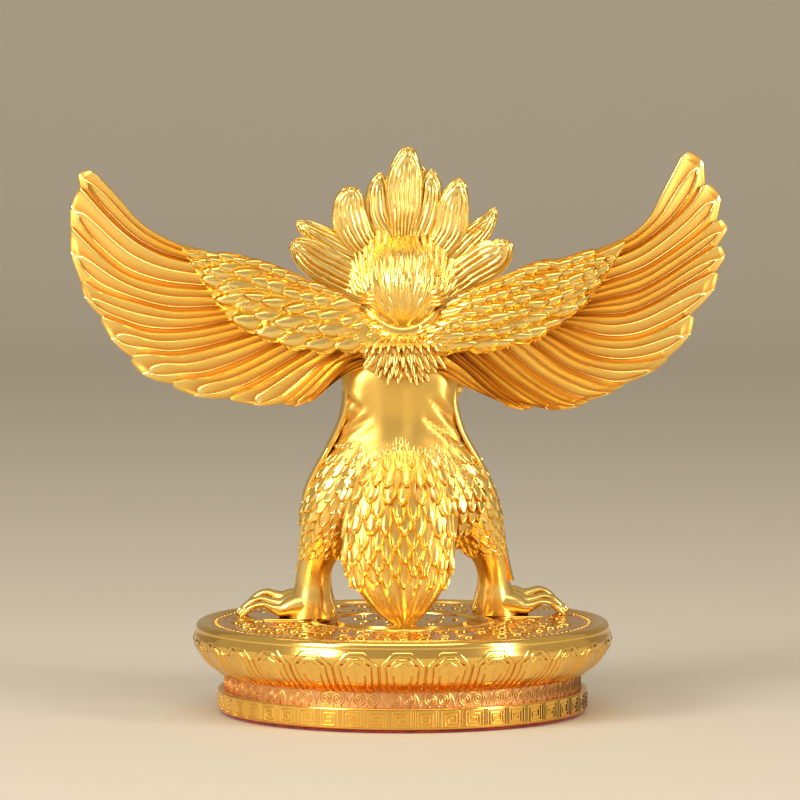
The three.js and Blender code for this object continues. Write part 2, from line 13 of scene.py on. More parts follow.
import bpy
import numpy as np
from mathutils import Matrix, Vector


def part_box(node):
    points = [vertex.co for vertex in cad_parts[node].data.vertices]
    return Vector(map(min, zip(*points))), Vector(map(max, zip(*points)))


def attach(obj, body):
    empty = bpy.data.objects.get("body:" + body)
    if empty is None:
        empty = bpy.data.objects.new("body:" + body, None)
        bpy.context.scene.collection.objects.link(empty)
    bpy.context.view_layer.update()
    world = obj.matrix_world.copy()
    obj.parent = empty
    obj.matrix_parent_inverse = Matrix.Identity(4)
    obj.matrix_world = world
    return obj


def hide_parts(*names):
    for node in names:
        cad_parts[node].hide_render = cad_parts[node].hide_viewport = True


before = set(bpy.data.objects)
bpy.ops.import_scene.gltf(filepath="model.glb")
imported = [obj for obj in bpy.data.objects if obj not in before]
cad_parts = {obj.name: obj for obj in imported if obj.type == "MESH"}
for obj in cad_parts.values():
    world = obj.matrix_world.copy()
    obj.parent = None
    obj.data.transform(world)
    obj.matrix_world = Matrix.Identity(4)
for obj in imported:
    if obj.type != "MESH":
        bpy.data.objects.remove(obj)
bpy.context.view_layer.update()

log = logging.getLogger("garuda")
MM = 0.001
ROOT = "root"

Array = np.ndarray
Rows = tuple[tuple[float, ...], ...]
Spot = tuple[float, float, float]
Tree = bpy.types.NodeTree
Socket = bpy.types.NodeSocket


# Numbers and curves


def linear(hex_colour: str) -> tuple[float, float, float, float]:
    """Turns an sRGB hex colour into linear red, green, blue and alpha."""
    channels = [int(hex_colour[i:i + 2], 16) / 255 for i in (1, 3, 5)]
    low = [c / 12.92 if c <= 0.04045 else ((c + 0.055) / 1.055) ** 2.4 for c in channels]
    return (*low, 1.0)


def spline(rows: Rows, t: Array) -> Array:
    """Smooth curve through evenly spaced rows of numbers (a uniform Catmull-Rom curve).

    Args:
        rows: The numbers that the curve passes through, one row for each knot.
        t: Places along the curve, from 0 at the first row to 1 at the last.

    Returns:
        One row of numbers for each place, along a new last axis.
    """
    table = np.asarray(rows, float)
    last = len(table) - 1
    along = np.clip(np.asarray(t, float), 0, 1) * last
    i = np.minimum(along.astype(int), last - 1)
    f = (along - i)[..., None]
    p0, p1, p2 = table[np.maximum(i - 1, 0)], table[i], table[i + 1]
    p3 = table[np.minimum(i + 2, last)]
    bend = 2 * p0 - 5 * p1 + 4 * p2 - p3
    twist = 3 * p1 - p0 - 3 * p2 + p3
    return p1 + 0.5 * f * (p2 - p0 + f * (bend + f * twist))


def unit(vectors: Array) -> Array:
    """Vectors of length one along the last axis."""
    return vectors / np.maximum(np.linalg.norm(vectors, axis=-1, keepdims=True), 1e-12)


def turns(count: int) -> Array:
    """Evenly spaced angles once round, without the last."""
    return np.arange(count) * 2 * np.pi / count


def bump(x: Array, middle: float, spread: float) -> Array:
    """A smooth bump of height one: the bell exp(-((x - middle) / spread)^2)."""
    return np.exp(-(((x - middle) / spread) ** 2))


def level(*parts: Array) -> Array:
    """Points from separate x, y and z, spread to one shape."""
    return np.stack(np.broadcast_arrays(*parts), -1)


def lathe(radius: Array, angle: Array, z: Array) -> Array:
    """Points at a radius and an angle round the upright axis, and a level."""
    return level(radius * np.cos(angle), radius * np.sin(angle), z)


def facing(up: Array, turn: Array) -> Array:
    """Unit vectors (cos up cos turn, cos up sin turn, sin up)."""
    return level(np.cos(up) * np.cos(turn), np.cos(up) * np.sin(turn), np.sin(up))


def grid(shares: Array, sides: int) -> tuple[Array, Array]:
    """Shares down a form and angles round it, one pair for each point."""
    return np.meshgrid(shares, turns(sides), indexing="ij")


def course(rows: Rows, t: Array, step: float) -> Array:
    """How far the curve through the rows runs from a step before t to a step after."""
    return spline(rows, np.minimum(t + step, 1)) - spline(rows, np.maximum(t - step, 0))


def tube(rows: Rows, levels: int, sides: int) -> Array:
    """Rings along a path of rows x, y, z, half width and half height; the width lies level.

    The ring at t is path(t) + a cos(angle) * across + b sin(angle) * over, where across is
    level and square to the path, and over is square to both.
    """
    t = np.linspace(0, 1, levels)
    row = spline(rows, t)[:, None]
    along = unit(course(rows, t, 0.01)[:, :3])
    across = unit(level(-along[:, 1], along[:, 0], 0 * t) + np.array([1e-6, 0, 0]))
    over = np.cross(along, across)
    angle = turns(sides)[None, :, None]
    wide = across[:, None] * row[..., 3:4] * np.cos(angle)
    return row[..., :3] + wide + over[:, None] * row[..., 4:] * np.sin(angle)


def ball(centre: Spot, half: Spot, levels: int, sides: int) -> Array:
    """Rings of an ellipsoid: its centre, and half its size each way in each direction."""
    return np.array(centre) + facing(*grid(np.linspace(1.5, -1.5, levels), sides)) * np.array(half)


# Meshes


class Casting:
    """Closed shells gathered into one mesh, with a relief value at every point.

    Each shell is a stack of rings. A quad joins four neighbours of two rings, and a fan round
    the middle of the first and of the last ring closes the ends. A shell whose signed volume,
    the sum of p0 . (p1 x p2) / 6 over its faces, is negative has its faces turned round.
    """

    def __init__(self, name: str) -> None:
        """Starts an empty mesh of that name."""
        self.name = name
        self.points: list[Array] = []
        self.relief: list[Array] = []
        self.quads: list[Array] = []
        self.fans: list[Array] = []
        self.count = 0

    def add(self, rings: Array, relief: Array | float = 0.6) -> None:
        """Adds one shell, or many alike.

        Args:
            rings: Points in metres, shaped (..., rings, points in a ring, 3).
            relief: 0 in a hollow to 1 on a crest, for each point or for all; it sets painted shade and
                highlight.
        """
        n, m = rings.shape[-3:-1]
        shells = rings.reshape(-1, n * m, 3)
        tone = np.broadcast_to(relief, rings.shape[:-1]).reshape(-1, n * m)
        points, shade = (
            np.concatenate([part, np.stack([part[:, :m].mean(1), part[:, -m:].mean(1)], 1)], 1)
            for part in (shells, tone)
        )
        c = np.arange(m)
        nxt = (c + 1) % m
        low = (np.arange(n - 1) * m)[:, None]
        quads = np.stack([low + c, low + nxt, low + nxt + m, low + c + m], -1).reshape(-1, 4)
        top = (n - 1) * m
        first = np.stack([np.full(m, n * m), nxt, c], -1)
        last = np.stack([np.full(m, n * m + 1), top + c, top + nxt], -1)
        fans = np.concatenate([first, last])
        triangles = np.concatenate([quads[:, :3], quads[:, [0, 2, 3]], fans])
        corner = (points - points.mean(1, keepdims=True))[:, triangles]
        volume = np.einsum("kti,kti->k", corner[:, :, 0], np.cross(corner[:, :, 1], corner[:, :, 2]))
        start = self.count + np.arange(len(shells))[:, None, None] * (n * m + 2)
        for faces, store in ((quads, self.quads), (fans, self.fans)):
            placed = faces[None] + start
            placed[volume < 0] = placed[volume < 0][:, :, ::-1]
            store.append(placed.reshape(-1, faces.shape[1]))
        self.points.append(points.reshape(-1, 3))
        self.relief.append(shade.reshape(-1))
        self.count += points.shape[0] * points.shape[1]

    def triangles(self) -> int:
        """How many triangles the mesh has."""
        return 2 * sum(map(len, self.quads)) + sum(map(len, self.fans))

    def pour(self, material: bpy.types.Material, crease: float = 55) -> bpy.types.Object:
        """Makes the object.

        Args:
            material: Its finish.
            crease: Edges that bend by more degrees than this stay sharp.

        Returns:
            The object, at the origin, with a point attribute named relief.
        """
        mesh = bpy.data.meshes.new(self.name)
        faces = np.concatenate(self.quads).tolist() + np.concatenate(self.fans).tolist()
        mesh.from_pydata(np.concatenate(self.points).tolist(), [], faces)
        relief = mesh.attributes.new("relief", "FLOAT", "POINT")
        relief.data.foreach_set("value", np.concatenate(self.relief).astype(np.float32))
        mesh.materials.append(material)
        mesh.shade_smooth()
        mesh.set_sharp_from_angle(angle=math.radians(crease))
        return link(self.name, mesh)


def link(name: str, data: bpy.types.ID) -> bpy.types.Object:
    """A new object of that name in the scene, which shows the mesh, lamp or lens."""
    made = bpy.data.objects.new(name, data)
    bpy.context.scene.collection.objects.link(made)
    return made


# Finishes


def add_node(tree: Tree, kind: str, inputs: dict | None = None, **settings: object) -> bpy.types.Node:
    """Adds one node with its settings and links.

    Args:
        tree: The material's node tree.
        kind: The shader node's type, without its first words.
        inputs: For each input's name or number, a value or the socket that feeds it.
        settings: Values for the node's own properties.

    Returns:
        The node.
    """
    made = tree.nodes.new("ShaderNode" + kind)
    for name, value in settings.items():
        setattr(made, name, value)
    for name, value in (inputs or {}).items():
        if isinstance(value, Socket):
            tree.links.new(value, made.inputs[name])
        else:
            made.inputs[name].default_value = value
    return made


def blank_material(name: str) -> tuple[bpy.types.Material, Tree]:
    """A material with an empty node tree."""
    material = bpy.data.materials.new(name)
    material.use_nodes = True
    material.node_tree.nodes.clear()
    return material, material.node_tree


def noise(tree: Tree, place: Socket, grain_mm: float, detail: float) -> Socket:
    """Noise whose lumps are about that many millimetres wide."""
    inputs = {"Vector": place, "Scale": 1 / (grain_mm * MM), "Detail": detail}
    return add_node(tree, "TexNoise", inputs).outputs["Fac"]


def ramp(tree: Tree, factor: Socket, stops: Iterable[tuple]) -> Socket:
    """Colours by a factor, from pairs of place and colour: both ends, then those between."""
    made = add_node(tree, "ValToRGB", {"Fac": factor})
    elements = made.color_ramp.elements
    for i, (place, colour) in enumerate(stops):
        stop = elements[i] if i < 2 else elements.new(place)
        stop.position, stop.color = place, colour
    return made.outputs["Color"]


def relieved(tree: Tree, height: Socket, strength: float, depth_mm: float) -> Socket:
    """The normal of a surface with fine bumps of that depth."""
    inputs = {"Height": height, "Strength": strength, "Distance": depth_mm * MM}
    return add_node(tree, "Bump", inputs).outputs["Normal"]


def coat(tree: Tree, inputs: dict) -> None:
    """Ends a material in one surface shader with those inputs."""
    shader = add_node(tree, "BsdfPrincipled", inputs)
    add_node(tree, "OutputMaterial", {"Surface": shader.outputs["BSDF"]})


@dataclass(frozen=True)
class GildedCasting:
    """Bright gold plate on cast zinc alloy, tumbled and then buffed by hand.

    Buffing reaches the crests only, so they mirror the lights, while the recesses keep the
    matt plate as it left the bath. The colour is painted light along the relief: painted
    shade, darker and redder, in the recesses and a painted highlight, paler, on the crests.
    """

    name: str
    # The crest colour is a painted highlight, the colour for the recesses a painted shade, and the plain
    # colour lies between.
    crest: str = "#FFE294"
    plain: str = "#F5CE6C"
    recess_shade: str = "#CF9848"
    crest_roughness: float = 0.2
    plain_roughness: float = 0.31
    recess_roughness: float = 0.55
    skin_mm: float = 0.35  # grain of the cast skin
    skin_depth_mm: float = 0.012
    cloud_mm: float = 7.0  # patches of slightly thicker plate
    cloud_share: float = 0.22  # how far the patches shift the relief, from end to end

    def build(self) -> bpy.types.Material:
        """Makes the material from the relief attribute and two noises."""
        material, tree = blank_material(self.name)
        relief = add_node(tree, "Attribute", attribute_name="relief").outputs["Fac"]
        place = add_node(tree, "TexCoord").outputs["Object"]
        cloud = noise(tree, place, self.cloud_mm, 3.0)
        skin = noise(tree, place, self.skin_mm, 4.0)
        shift = {0: cloud, 1: self.cloud_share, 2: -self.cloud_share / 2}
        drift = add_node(tree, "Math", shift, operation="MULTIPLY_ADD").outputs[0]
        height = add_node(tree, "Math", {0: relief, 1: drift}, operation="ADD", use_clamp=True).outputs[0]
        # The tint ramp paints shade where the relief is low and a highlight where it is high.
        places = (0.05, 0.9, 0.45)
        tint = ramp(tree, height, zip(places, map(linear, (self.recess_shade, self.crest, self.plain))))
        rough = (self.recess_roughness, self.crest_roughness, self.plain_roughness)
        polish = ramp(tree, height, zip(places, [(grade, grade, grade, 1) for grade in rough]))
        normal = relieved(tree, skin, 0.5, self.skin_depth_mm)
        coat(tree, {"Base Color": tint, "Metallic": 1.0, "Roughness": polish, "Normal": normal})
        return material


@dataclass(frozen=True)
class NeedledFelt:
    """Short-pile needled wool felt, dyed red: matt, with a faint sheen from its loose fibres."""

    name: str = "red_needled_felt"
    light: str = "#A8322B"
    dark: str = "#6E1512"
    fibre_mm: float = 0.25
    tuft_mm: float = 1.6
    pile_mm: float = 0.1

    def build(self) -> bpy.types.Material:
        """Makes the material from a fibre noise and a tuft noise."""
        material, tree = blank_material(self.name)
        place = add_node(tree, "TexCoord").outputs["Object"]
        fibre = noise(tree, place, self.fibre_mm, 6.0)
        tuft = noise(tree, place, self.tuft_mm, 2.0)
        blend = add_node(tree, "Math", {0: fibre, 1: tuft}, operation="MULTIPLY").outputs[0]
        tint = ramp(tree, blend, ((0.12, linear(self.dark)), (0.4, linear(self.light))))
        pile = relieved(tree, fibre, 0.8, self.pile_mm)
        coat(tree, {"Base Color": tint, "Roughness": 0.95, "Sheen Weight": 0.3, "Normal": pile})
        return material


# The figure's own measure


@dataclass(frozen=True)
class Measure:
    """Turns the figure's hundredths into metres, from the CAD node's height and seat."""

    share: float
    seat: float

    @classmethod
    def read(cls) -> "Measure":
        """Reads the figure's height and its lowest level from the frame."""
        low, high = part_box("garuda_figure")
        sink = 0.08 * MM  # soles and tail tip touch the plinth
        return cls(share=(high.z - low.z) / 100, seat=low.z - sink)

    def place(self, points: Array) -> Array:
        """Points in metres from points in hundredths of the height."""
        return points * self.share + np.array([0, 0, self.seat])


@dataclass
class Figure:
    """The one-piece cast figure: every form is poured into the same casting."""

    measure: Measure
    casting: Casting
    chance: np.random.Generator = field(default_factory=lambda: np.random.default_rng(11))

    def add(self, rings: Array, relief: Array | float = 0.6) -> None:
        """Adds shells given in hundredths of the height."""
        self.casting.add(self.measure.place(rings), relief)

    def rod(
        self, rows: Rows, levels: int, sides: int, relief: float,
        side: int = 1, foot: tuple[float, float] = (0, 0),
    ) -> None:
        """Adds a tube whose rows give x outwards on one side, and x and y from a foot."""
        placed = [(foot[0] + side * x, foot[1] + y, *rest) for x, y, *rest in rows]
        self.add(tube(placed, levels, sides), relief)


# Small feathers


@dataclass(frozen=True)
class LeafForm:
    """Shape of one small feather, which lies on a body like a roof tile.

    Its outline is as wide as cos(pi/2 * v^taper)^0.75 at the share v of its length, narrowed by
    0.55 + 1.2 v at its root, so that it ends in a point, which swerve * v^3 carries to one
    side. Across it, the height follows a sloping wall, a raised rim, a furrow and a rib.
    """

    across: tuple[float, ...] = (-1, -0.88, -0.7, -0.46, 0, 0.46, 0.7, 0.88, 1)
    heights: tuple[float, ...] = (-0.3, 0.6, 1.0, 0.3, 0.72, 0.3, 1.0, 0.6, -0.3)
    stations: tuple[float, ...] = (0, 0.5, 0.8, 1.0)
    taper: float = 2.3
    carving: float = 0.75  # height of the rim over the furrow, as a share of the lift
    sink: float = 0.9  # how deep the underside lies, as a share of the lift
    swerve: float = 0.0
    pitch: float = 0.6  # how far the tip stands off the body, as a share of the lift
    hug: float = 0.02  # how the feather bends in with the body: one over the radius

    def shells(self, root: Array, down: Array, normal: Array, size: Array) -> tuple[Array, Array]:
        """Shells for many small feathers at once.

        Args:
            root: Points on the body where the feathers start, shaped (feathers, 3).
            down: Unit vectors from root to tip.
            normal: Unit vectors out of the body.
            size: Length, breadth and lift of each feather, shaped (feathers, 3).

        Returns:
            The rings, shaped (feathers, stations, points, 3), and their relief.
        """
        u, h = np.array([*self.across, 0]), np.array([*self.heights, 0])
        upper = np.arange(len(u)) < len(self.across)  # the last point is the underside's
        v = np.array(self.stations)[:, None]
        length, breadth, lift = [size[:, i, None, None] for i in range(3)]
        spread = np.cos(np.pi / 2 * v**self.taper) ** 0.75 * np.clip(0.55 + v * 1.2, 0, 1)
        run = v * length
        reach = (u * spread + self.swerve * v**3) * breadth / 2
        fade = np.clip(v * 3, 0.3, 1)
        rise = lift * (0.1 + self.pitch * v**1.2 + self.carving * fade * (h - 0.7))
        rise = np.where(upper, rise, -self.sink * lift) - self.hug * run**2 / 2
        steps = ((down, run + 0 * reach), (unit(np.cross(normal, down)), reach), (normal, rise))
        rings = sum((way[:, None, None] * far[..., None] for way, far in steps), root[:, None, None])
        # Painted light: the rims get a painted highlight; the furrows, the underside and the root, tucked
        # under the row before, get painted shade.
        tone = np.where(upper, 0.15 + 0.85 * h, 0) * (0.4 + 0.6 * v)
        return rings, np.broadcast_to(np.clip(tone, 0, 1), rings.shape[:-1])


TAIL_LEAF = LeafForm(stations=(0, 0.45, 0.72, 0.9, 1.0), carving=0.85, pitch=0.85, hug=0.03)
FEATHER_LEAF = LeafForm(
    across=(-1, -0.84, -0.6, -0.25, 0.0, 0.25, 0.6, 0.84, 1),
    heights=(-0.3, 0.5, 0.92, 0.6, 0.8, 0.6, 0.92, 0.5, -0.3),
    carving=0.8, pitch=0.75,
)
PLAIN_LEAF = LeafForm(across=(-1, -0.75, 0, 0.75, 1), heights=(-0.3, 0.9, 0.4, 0.9, -0.3))
COVERT = LeafForm(
    across=(-1, -0.92, -0.76, -0.56, -0.28, 0.28, 0.56, 0.76, 0.92, 1),
    heights=(-0.5, 0.55, 1.0, 0.35, 0.85, 0.85, 0.35, 1.0, 0.55, -0.5),
    stations=(0, 0.45, 0.72, 0.9, 1.0), taper=2.8, carving=1.0, pitch=0.7, hug=0.012,
)
HAIR_TUFT = LeafForm(
    across=(-1, -0.5, 0, 0.5, 1), heights=(0.0, 0.8, 1.0, 0.8, 0.0),
    stations=(0, 0.4, 0.8, 1.0), taper=1.7, carving=0.8, pitch=0.75,
)
NAPE_TUFT = replace(HAIR_TUFT, hug=0.01)
HAIR_STROKE = replace(HAIR_TUFT, pitch=0.35, hug=0.1, carving=1.1)


@dataclass(frozen=True)
class Stack:
    """A body form as a stack of level ellipses: rows of x, y, z, half width and half depth."""

    rows: Rows

    def at(self, t: Array, angle: Array) -> Array:
        """Points at shares t of the rows: x + a cos(angle), y + b sin(angle), z."""
        x, y, z, a, b = np.moveaxis(spline(self.rows, t), -1, 0)
        return level(x + a * np.cos(angle), y + b * np.sin(angle), z)

    def axes(self, t: Array, angle: Array) -> tuple[Array, Array, Array]:
        """Point, unit normal and unit way down, from small steps both ways on the surface."""
        step, turn = 0.015, 0.04
        down = unit(self.at(t + step, angle) - self.at(t - step, angle))
        round_way = unit(self.at(t, angle + turn) - self.at(t, angle - turn))
        normal = unit(np.cross(round_way, down))
        outward = level(np.cos(angle), np.sin(angle), 0 * angle)
        normal = normal * np.sign((normal * outward).sum(-1, keepdims=True))
        return self.at(t, angle), normal, down

    def evenly(self, t: float, breadth: float, arc: tuple[float, float], stagger: bool) -> Array:
        """Angles on one level so that feathers of that breadth stand side by side."""
        fine = np.linspace(arc[0], arc[1], 240)
        path = self.at(np.full(fine.shape, t), fine)
        run = np.concatenate([[0], np.linalg.norm(np.diff(path, axis=0), axis=1).cumsum()])
        count = max(int(round(run[-1] / breadth)), 2)
        share = (np.arange(count) + (0.75 if stagger else 0.25)) / count
        return np.interp(share * run[-1], run, fine)

    def holds(self, points: Array, margin: float) -> Array:
        """Whether each point lies inside the form, by its ellipse at the point's level."""
        rows = spline(self.rows, np.linspace(1, 0, 120))
        x, y, a, b = [np.interp(points[:, 2], rows[:, 2], rows[:, i]) for i in (0, 1, 3, 4)]
        within = (points[:, 2] > rows[0, 2]) & (points[:, 2] < rows[-1, 2])
        inner = ((points[:, 0] - x) / a) ** 2 + ((points[:, 1] - y) / b) ** 2
        return within & (inner < margin**2)

    def solid(self, levels: int, sides: int) -> Array:
        """Rings of the plain form."""
        return self.at(*grid(np.linspace(0, 1, levels), sides))


SPACING = 0.92  # from small feather to small feather, as a share of their breadth
SINKS = (0.55, 0.4, 0.25)  # how deep the first, second and later rows lie, as shares of their lift
INSIDE = 0.86  # a feather that starts this far inside another form is left out
FRONT_LENGTH, FRONT_BREADTH = 1.35, 1.6  # the front's feathers against the back's


def clothe(
    figure: Figure, stack: Stack, rows: Rows, arc: tuple[float, float] = (0, 2 * math.pi),
    lean: float = 0, hidden: tuple[Stack, ...] = (), form: LeafForm = FEATHER_LEAF,
) -> None:
    """Covers a body form with rows of small feathers, each row staggered to the last.

    Args:
        figure: The figure that they are cast with.
        stack: The form under them.
        rows: Share of the form's rows, length, breadth and lift of each row of feathers.
        arc: First and last angle that they cover.
        lean: How far the feathers turn from straight down, in radians, towards the back.
        hidden: Other forms; a feather that starts inside one is left out.
        form: Shape of the feathers.
    """
    for i, (t, length, breadth, lift) in enumerate(rows):
        angle = stack.evenly(t, breadth * SPACING, arc, bool(i % 2))
        angle = angle + figure.chance.normal(0, 0.012, angle.shape)
        root, normal, down = stack.axes(np.full(angle.shape, t), angle)
        keep = np.ones(len(root), bool)
        for other in hidden:
            keep &= ~other.holds(root, INSIDE)
        root, normal, down = root[keep], normal[keep], down[keep]
        if not len(root):
            continue
        turn = (lean + figure.chance.normal(0, 0.06, len(root)))[:, None]
        side = unit(np.cross(normal, down))
        way = down * np.cos(turn) + side * np.sin(turn)
        spread = figure.chance.normal(1, 0.05, (len(root), 3))
        size = np.array([length, breadth, lift]) * spread
        sink = SINKS[min(i, 2)]
        figure.add(*form.shells(root - normal * sink * lift, way, normal, size))


def plainer(rows: Rows) -> Rows:
    """Every second of the rows of feathers, with longer and broader ones, for the front."""
    return tuple((t, FRONT_LENGTH * a, FRONT_BREADTH * b, lift) for t, a, b, lift in rows[::2])


ROUND_SIDE = 0.3  # how far the back's feathers reach round the sides, in radians
BACK_ARC = (-ROUND_SIDE, math.pi + ROUND_SIDE)
FRONT_ARC = (math.pi + ROUND_SIDE, 2 * math.pi - ROUND_SIDE)


# Trunk, legs and tail


TRUNK = Stack((
    (0, -0.5, 62, 5.2, 4.6), (0, 0.2, 57.5, 9.4, 5.6), (0.3, 0.4, 52.5, 12.4, 6.2),
    (0.4, 0.2, 47.5, 12.1, 6.2), (0.5, 0, 42.5, 11.9, 6.1), (0.6, 0.2, 37.5, 13.5, 6.8),
    (0.4, 0.3, 32.5, 15.6, 8.2), (0, 0, 27, 17.2, 9.0), (0, -0.6, 21.5, 15.6, 8.8),
    (0, -1.2, 16, 10.5, 6.4), (0, -1.4, 12.5, 4.5, 3.2),
))

LEFT_LEG = Stack((
    (6.5, 0, 41, 3.4, 4.6), (9.2, -0.6, 35.5, 6.4, 6.8), (11.4, -1.8, 29.8, 7.5, 8.2),
    (13.2, -3.0, 24.4, 7.7, 8.6), (14.6, -4.0, 19.4, 6.7, 7.8), (16.4, -4.8, 15.0, 5.3, 6.2),
    (18.4, -5.2, 11.2, 3.9, 4.5), (18.9, -5.6, 7.2, 3.9, 4.1), (19.0, -6.0, 3.4, 4.7, 4.6),
    (19.2, -6.2, 0, 5.4, 4.6),
))

RIGHT_LEG = Stack((
    (-6.2, 0, 41, 3.4, 4.6), (-8.8, -1.4, 35.5, 6.4, 6.8), (-11.0, -3.6, 29.8, 7.3, 8.2),
    (-12.8, -6.0, 24.4, 7.4, 8.6), (-14.6, -8.0, 19.4, 6.5, 7.8), (-16.8, -9.4, 15.0, 5.0, 6.0),
    (-18.8, -10.2, 11.2, 3.7, 4.3), (-19.4, -11.0, 7.2, 3.5, 3.9), (-19.6, -11.6, 3.4, 4.4, 4.4),
    (-19.8, -12.0, 0, 5.2, 4.4),
))

TAIL = Stack((
    (0, 1.5, 38.6, 6.5, 4.2), (0.2, 5.2, 32, 9.6, 5.0), (0.4, 7.0, 26, 11.0, 5.0),
    (0.7, 8.2, 20, 11.4, 4.5), (0.8, 9.0, 14, 11.2, 3.9), (0.6, 9.6, 8.5, 9.4, 3.1),
    (0.2, 10.0, 3.6, 6.0, 2.1), (-0.3, 10.1, 0, 2.1, 0.9),
))


@dataclass(frozen=True)
class Torso:
    """The bare back and chest, and the small feathers of the hips."""

    waist: float = 38.5  # the skin is bare above it
    spine_depth: float = 0.4
    muscle_height: float = 0.22
    crease_depth: float = 0.55
    crease_edge: float = 0.42
    # Blades, breast and navel: face (1 the back), line that they lie to both sides of, height,
    # distance from that line and spread across, level and spread in height
    forms: Rows = (
        (1, 0.4, 0.7, 8.6, 2.2, 48.6, 3.6), (-1, 0, 1.0, 4.2, 2.6, 54, 3.0),
        (-1, 0, -0.8, 0, 0.7, 42.5, 0.9),
    )
    # The folds of the waist: x and z of both ends of each
    creases: Rows = (
        (12.2, 48.0, 8.7, 45.2), (8.7, 45.2, 12.3, 41.4), (12.8, 39.2, 7.4, 43.0),
        (-6.1, 47.4, -10.2, 42.7), (-4.7, 43.2, -9.2, 39.7), (-9.2, 39.7, -11.0, 37.6),
    )
    # Rows of hip feathers: share of the trunk, length, breadth, lift
    hips: Rows = (
        (0.468, 2.6, 1.3, 0.42), (0.487, 3.0, 1.4, 0.45), (0.51, 3.4, 1.65, 0.5),
        (0.536, 3.8, 1.9, 0.55), (0.567, 4.3, 2.2, 0.6), (0.602, 4.8, 2.5, 0.65),
        (0.643, 5.0, 2.7, 0.7), (0.69, 5.0, 2.8, 0.7), (0.737, 5.0, 2.8, 0.7),
        (0.784, 5.0, 2.8, 0.7), (0.828, 4.8, 2.6, 0.65),
    )

    def cast(self, figure: Figure) -> None:
        """Pours the trunk: its back has a groove at the spine between two long muscles, blades
        at the shoulders and slanting folds at the waist; its front has a breast and a navel."""
        t, angle = grid(np.linspace(0, 1, 64), 72)
        point, normal, _ = TRUNK.axes(t, angle)
        x, z = point[..., 0], point[..., 2]
        faces = {side: np.clip(side * np.sin(angle) * 3, 0, 1) for side in (1, -1)}
        back = faces[1]
        bare = 1 / (1 + np.exp(-(z - self.waist) * 1.5))
        out = -self.spine_depth * bump(x, 0.4, 2.2) * bare * back
        out += self.muscle_height * bump(np.abs(x - 0.6), 4.0, 2.6) * bare * back
        for side, line, height, away, spread, middle, tall in self.forms:
            out += height * bump(np.abs(x - line), away, spread) * bump(z, middle, tall) * faces[side]
        fold = np.zeros_like(x)
        for x0, z0, x1, z1 in self.creases:
            run = np.array([x1 - x0, z1 - z0])
            along = ((x - x0) * run[0] + (z - z0) * run[1]) / (run @ run)
            held = np.clip(along, 0, 1)
            away = np.hypot(x - x0 - held * run[0], z - z0 - held * run[1])
            ends = np.clip(1.35 - np.abs(2 * held - 1) ** 3, 0, 1)
            fold += bump(away, 0, 0.5) * ends
            out += self.crease_edge * bump(away, 1.25, 0.75) * ends * back
        out -= self.crease_depth * fold * back
        # Painted shade in the folds of the waist, and on the skin below it, under the hip feathers.
        tone = np.clip(0.36 - 0.3 * fold * back, 0.05, 1)
        tone = np.where(z < self.waist - 0.3, 0.25, tone)
        figure.add(point + normal * out[..., None], tone)
        clothe(figure, TRUNK, self.hips, arc=BACK_ARC, hidden=(TAIL, LEFT_LEG, RIGHT_LEG))
        front = plainer(self.hips)
        clothe(figure, TRUNK, front, arc=FRONT_ARC, hidden=(LEFT_LEG, RIGHT_LEG), form=PLAIN_LEAF)


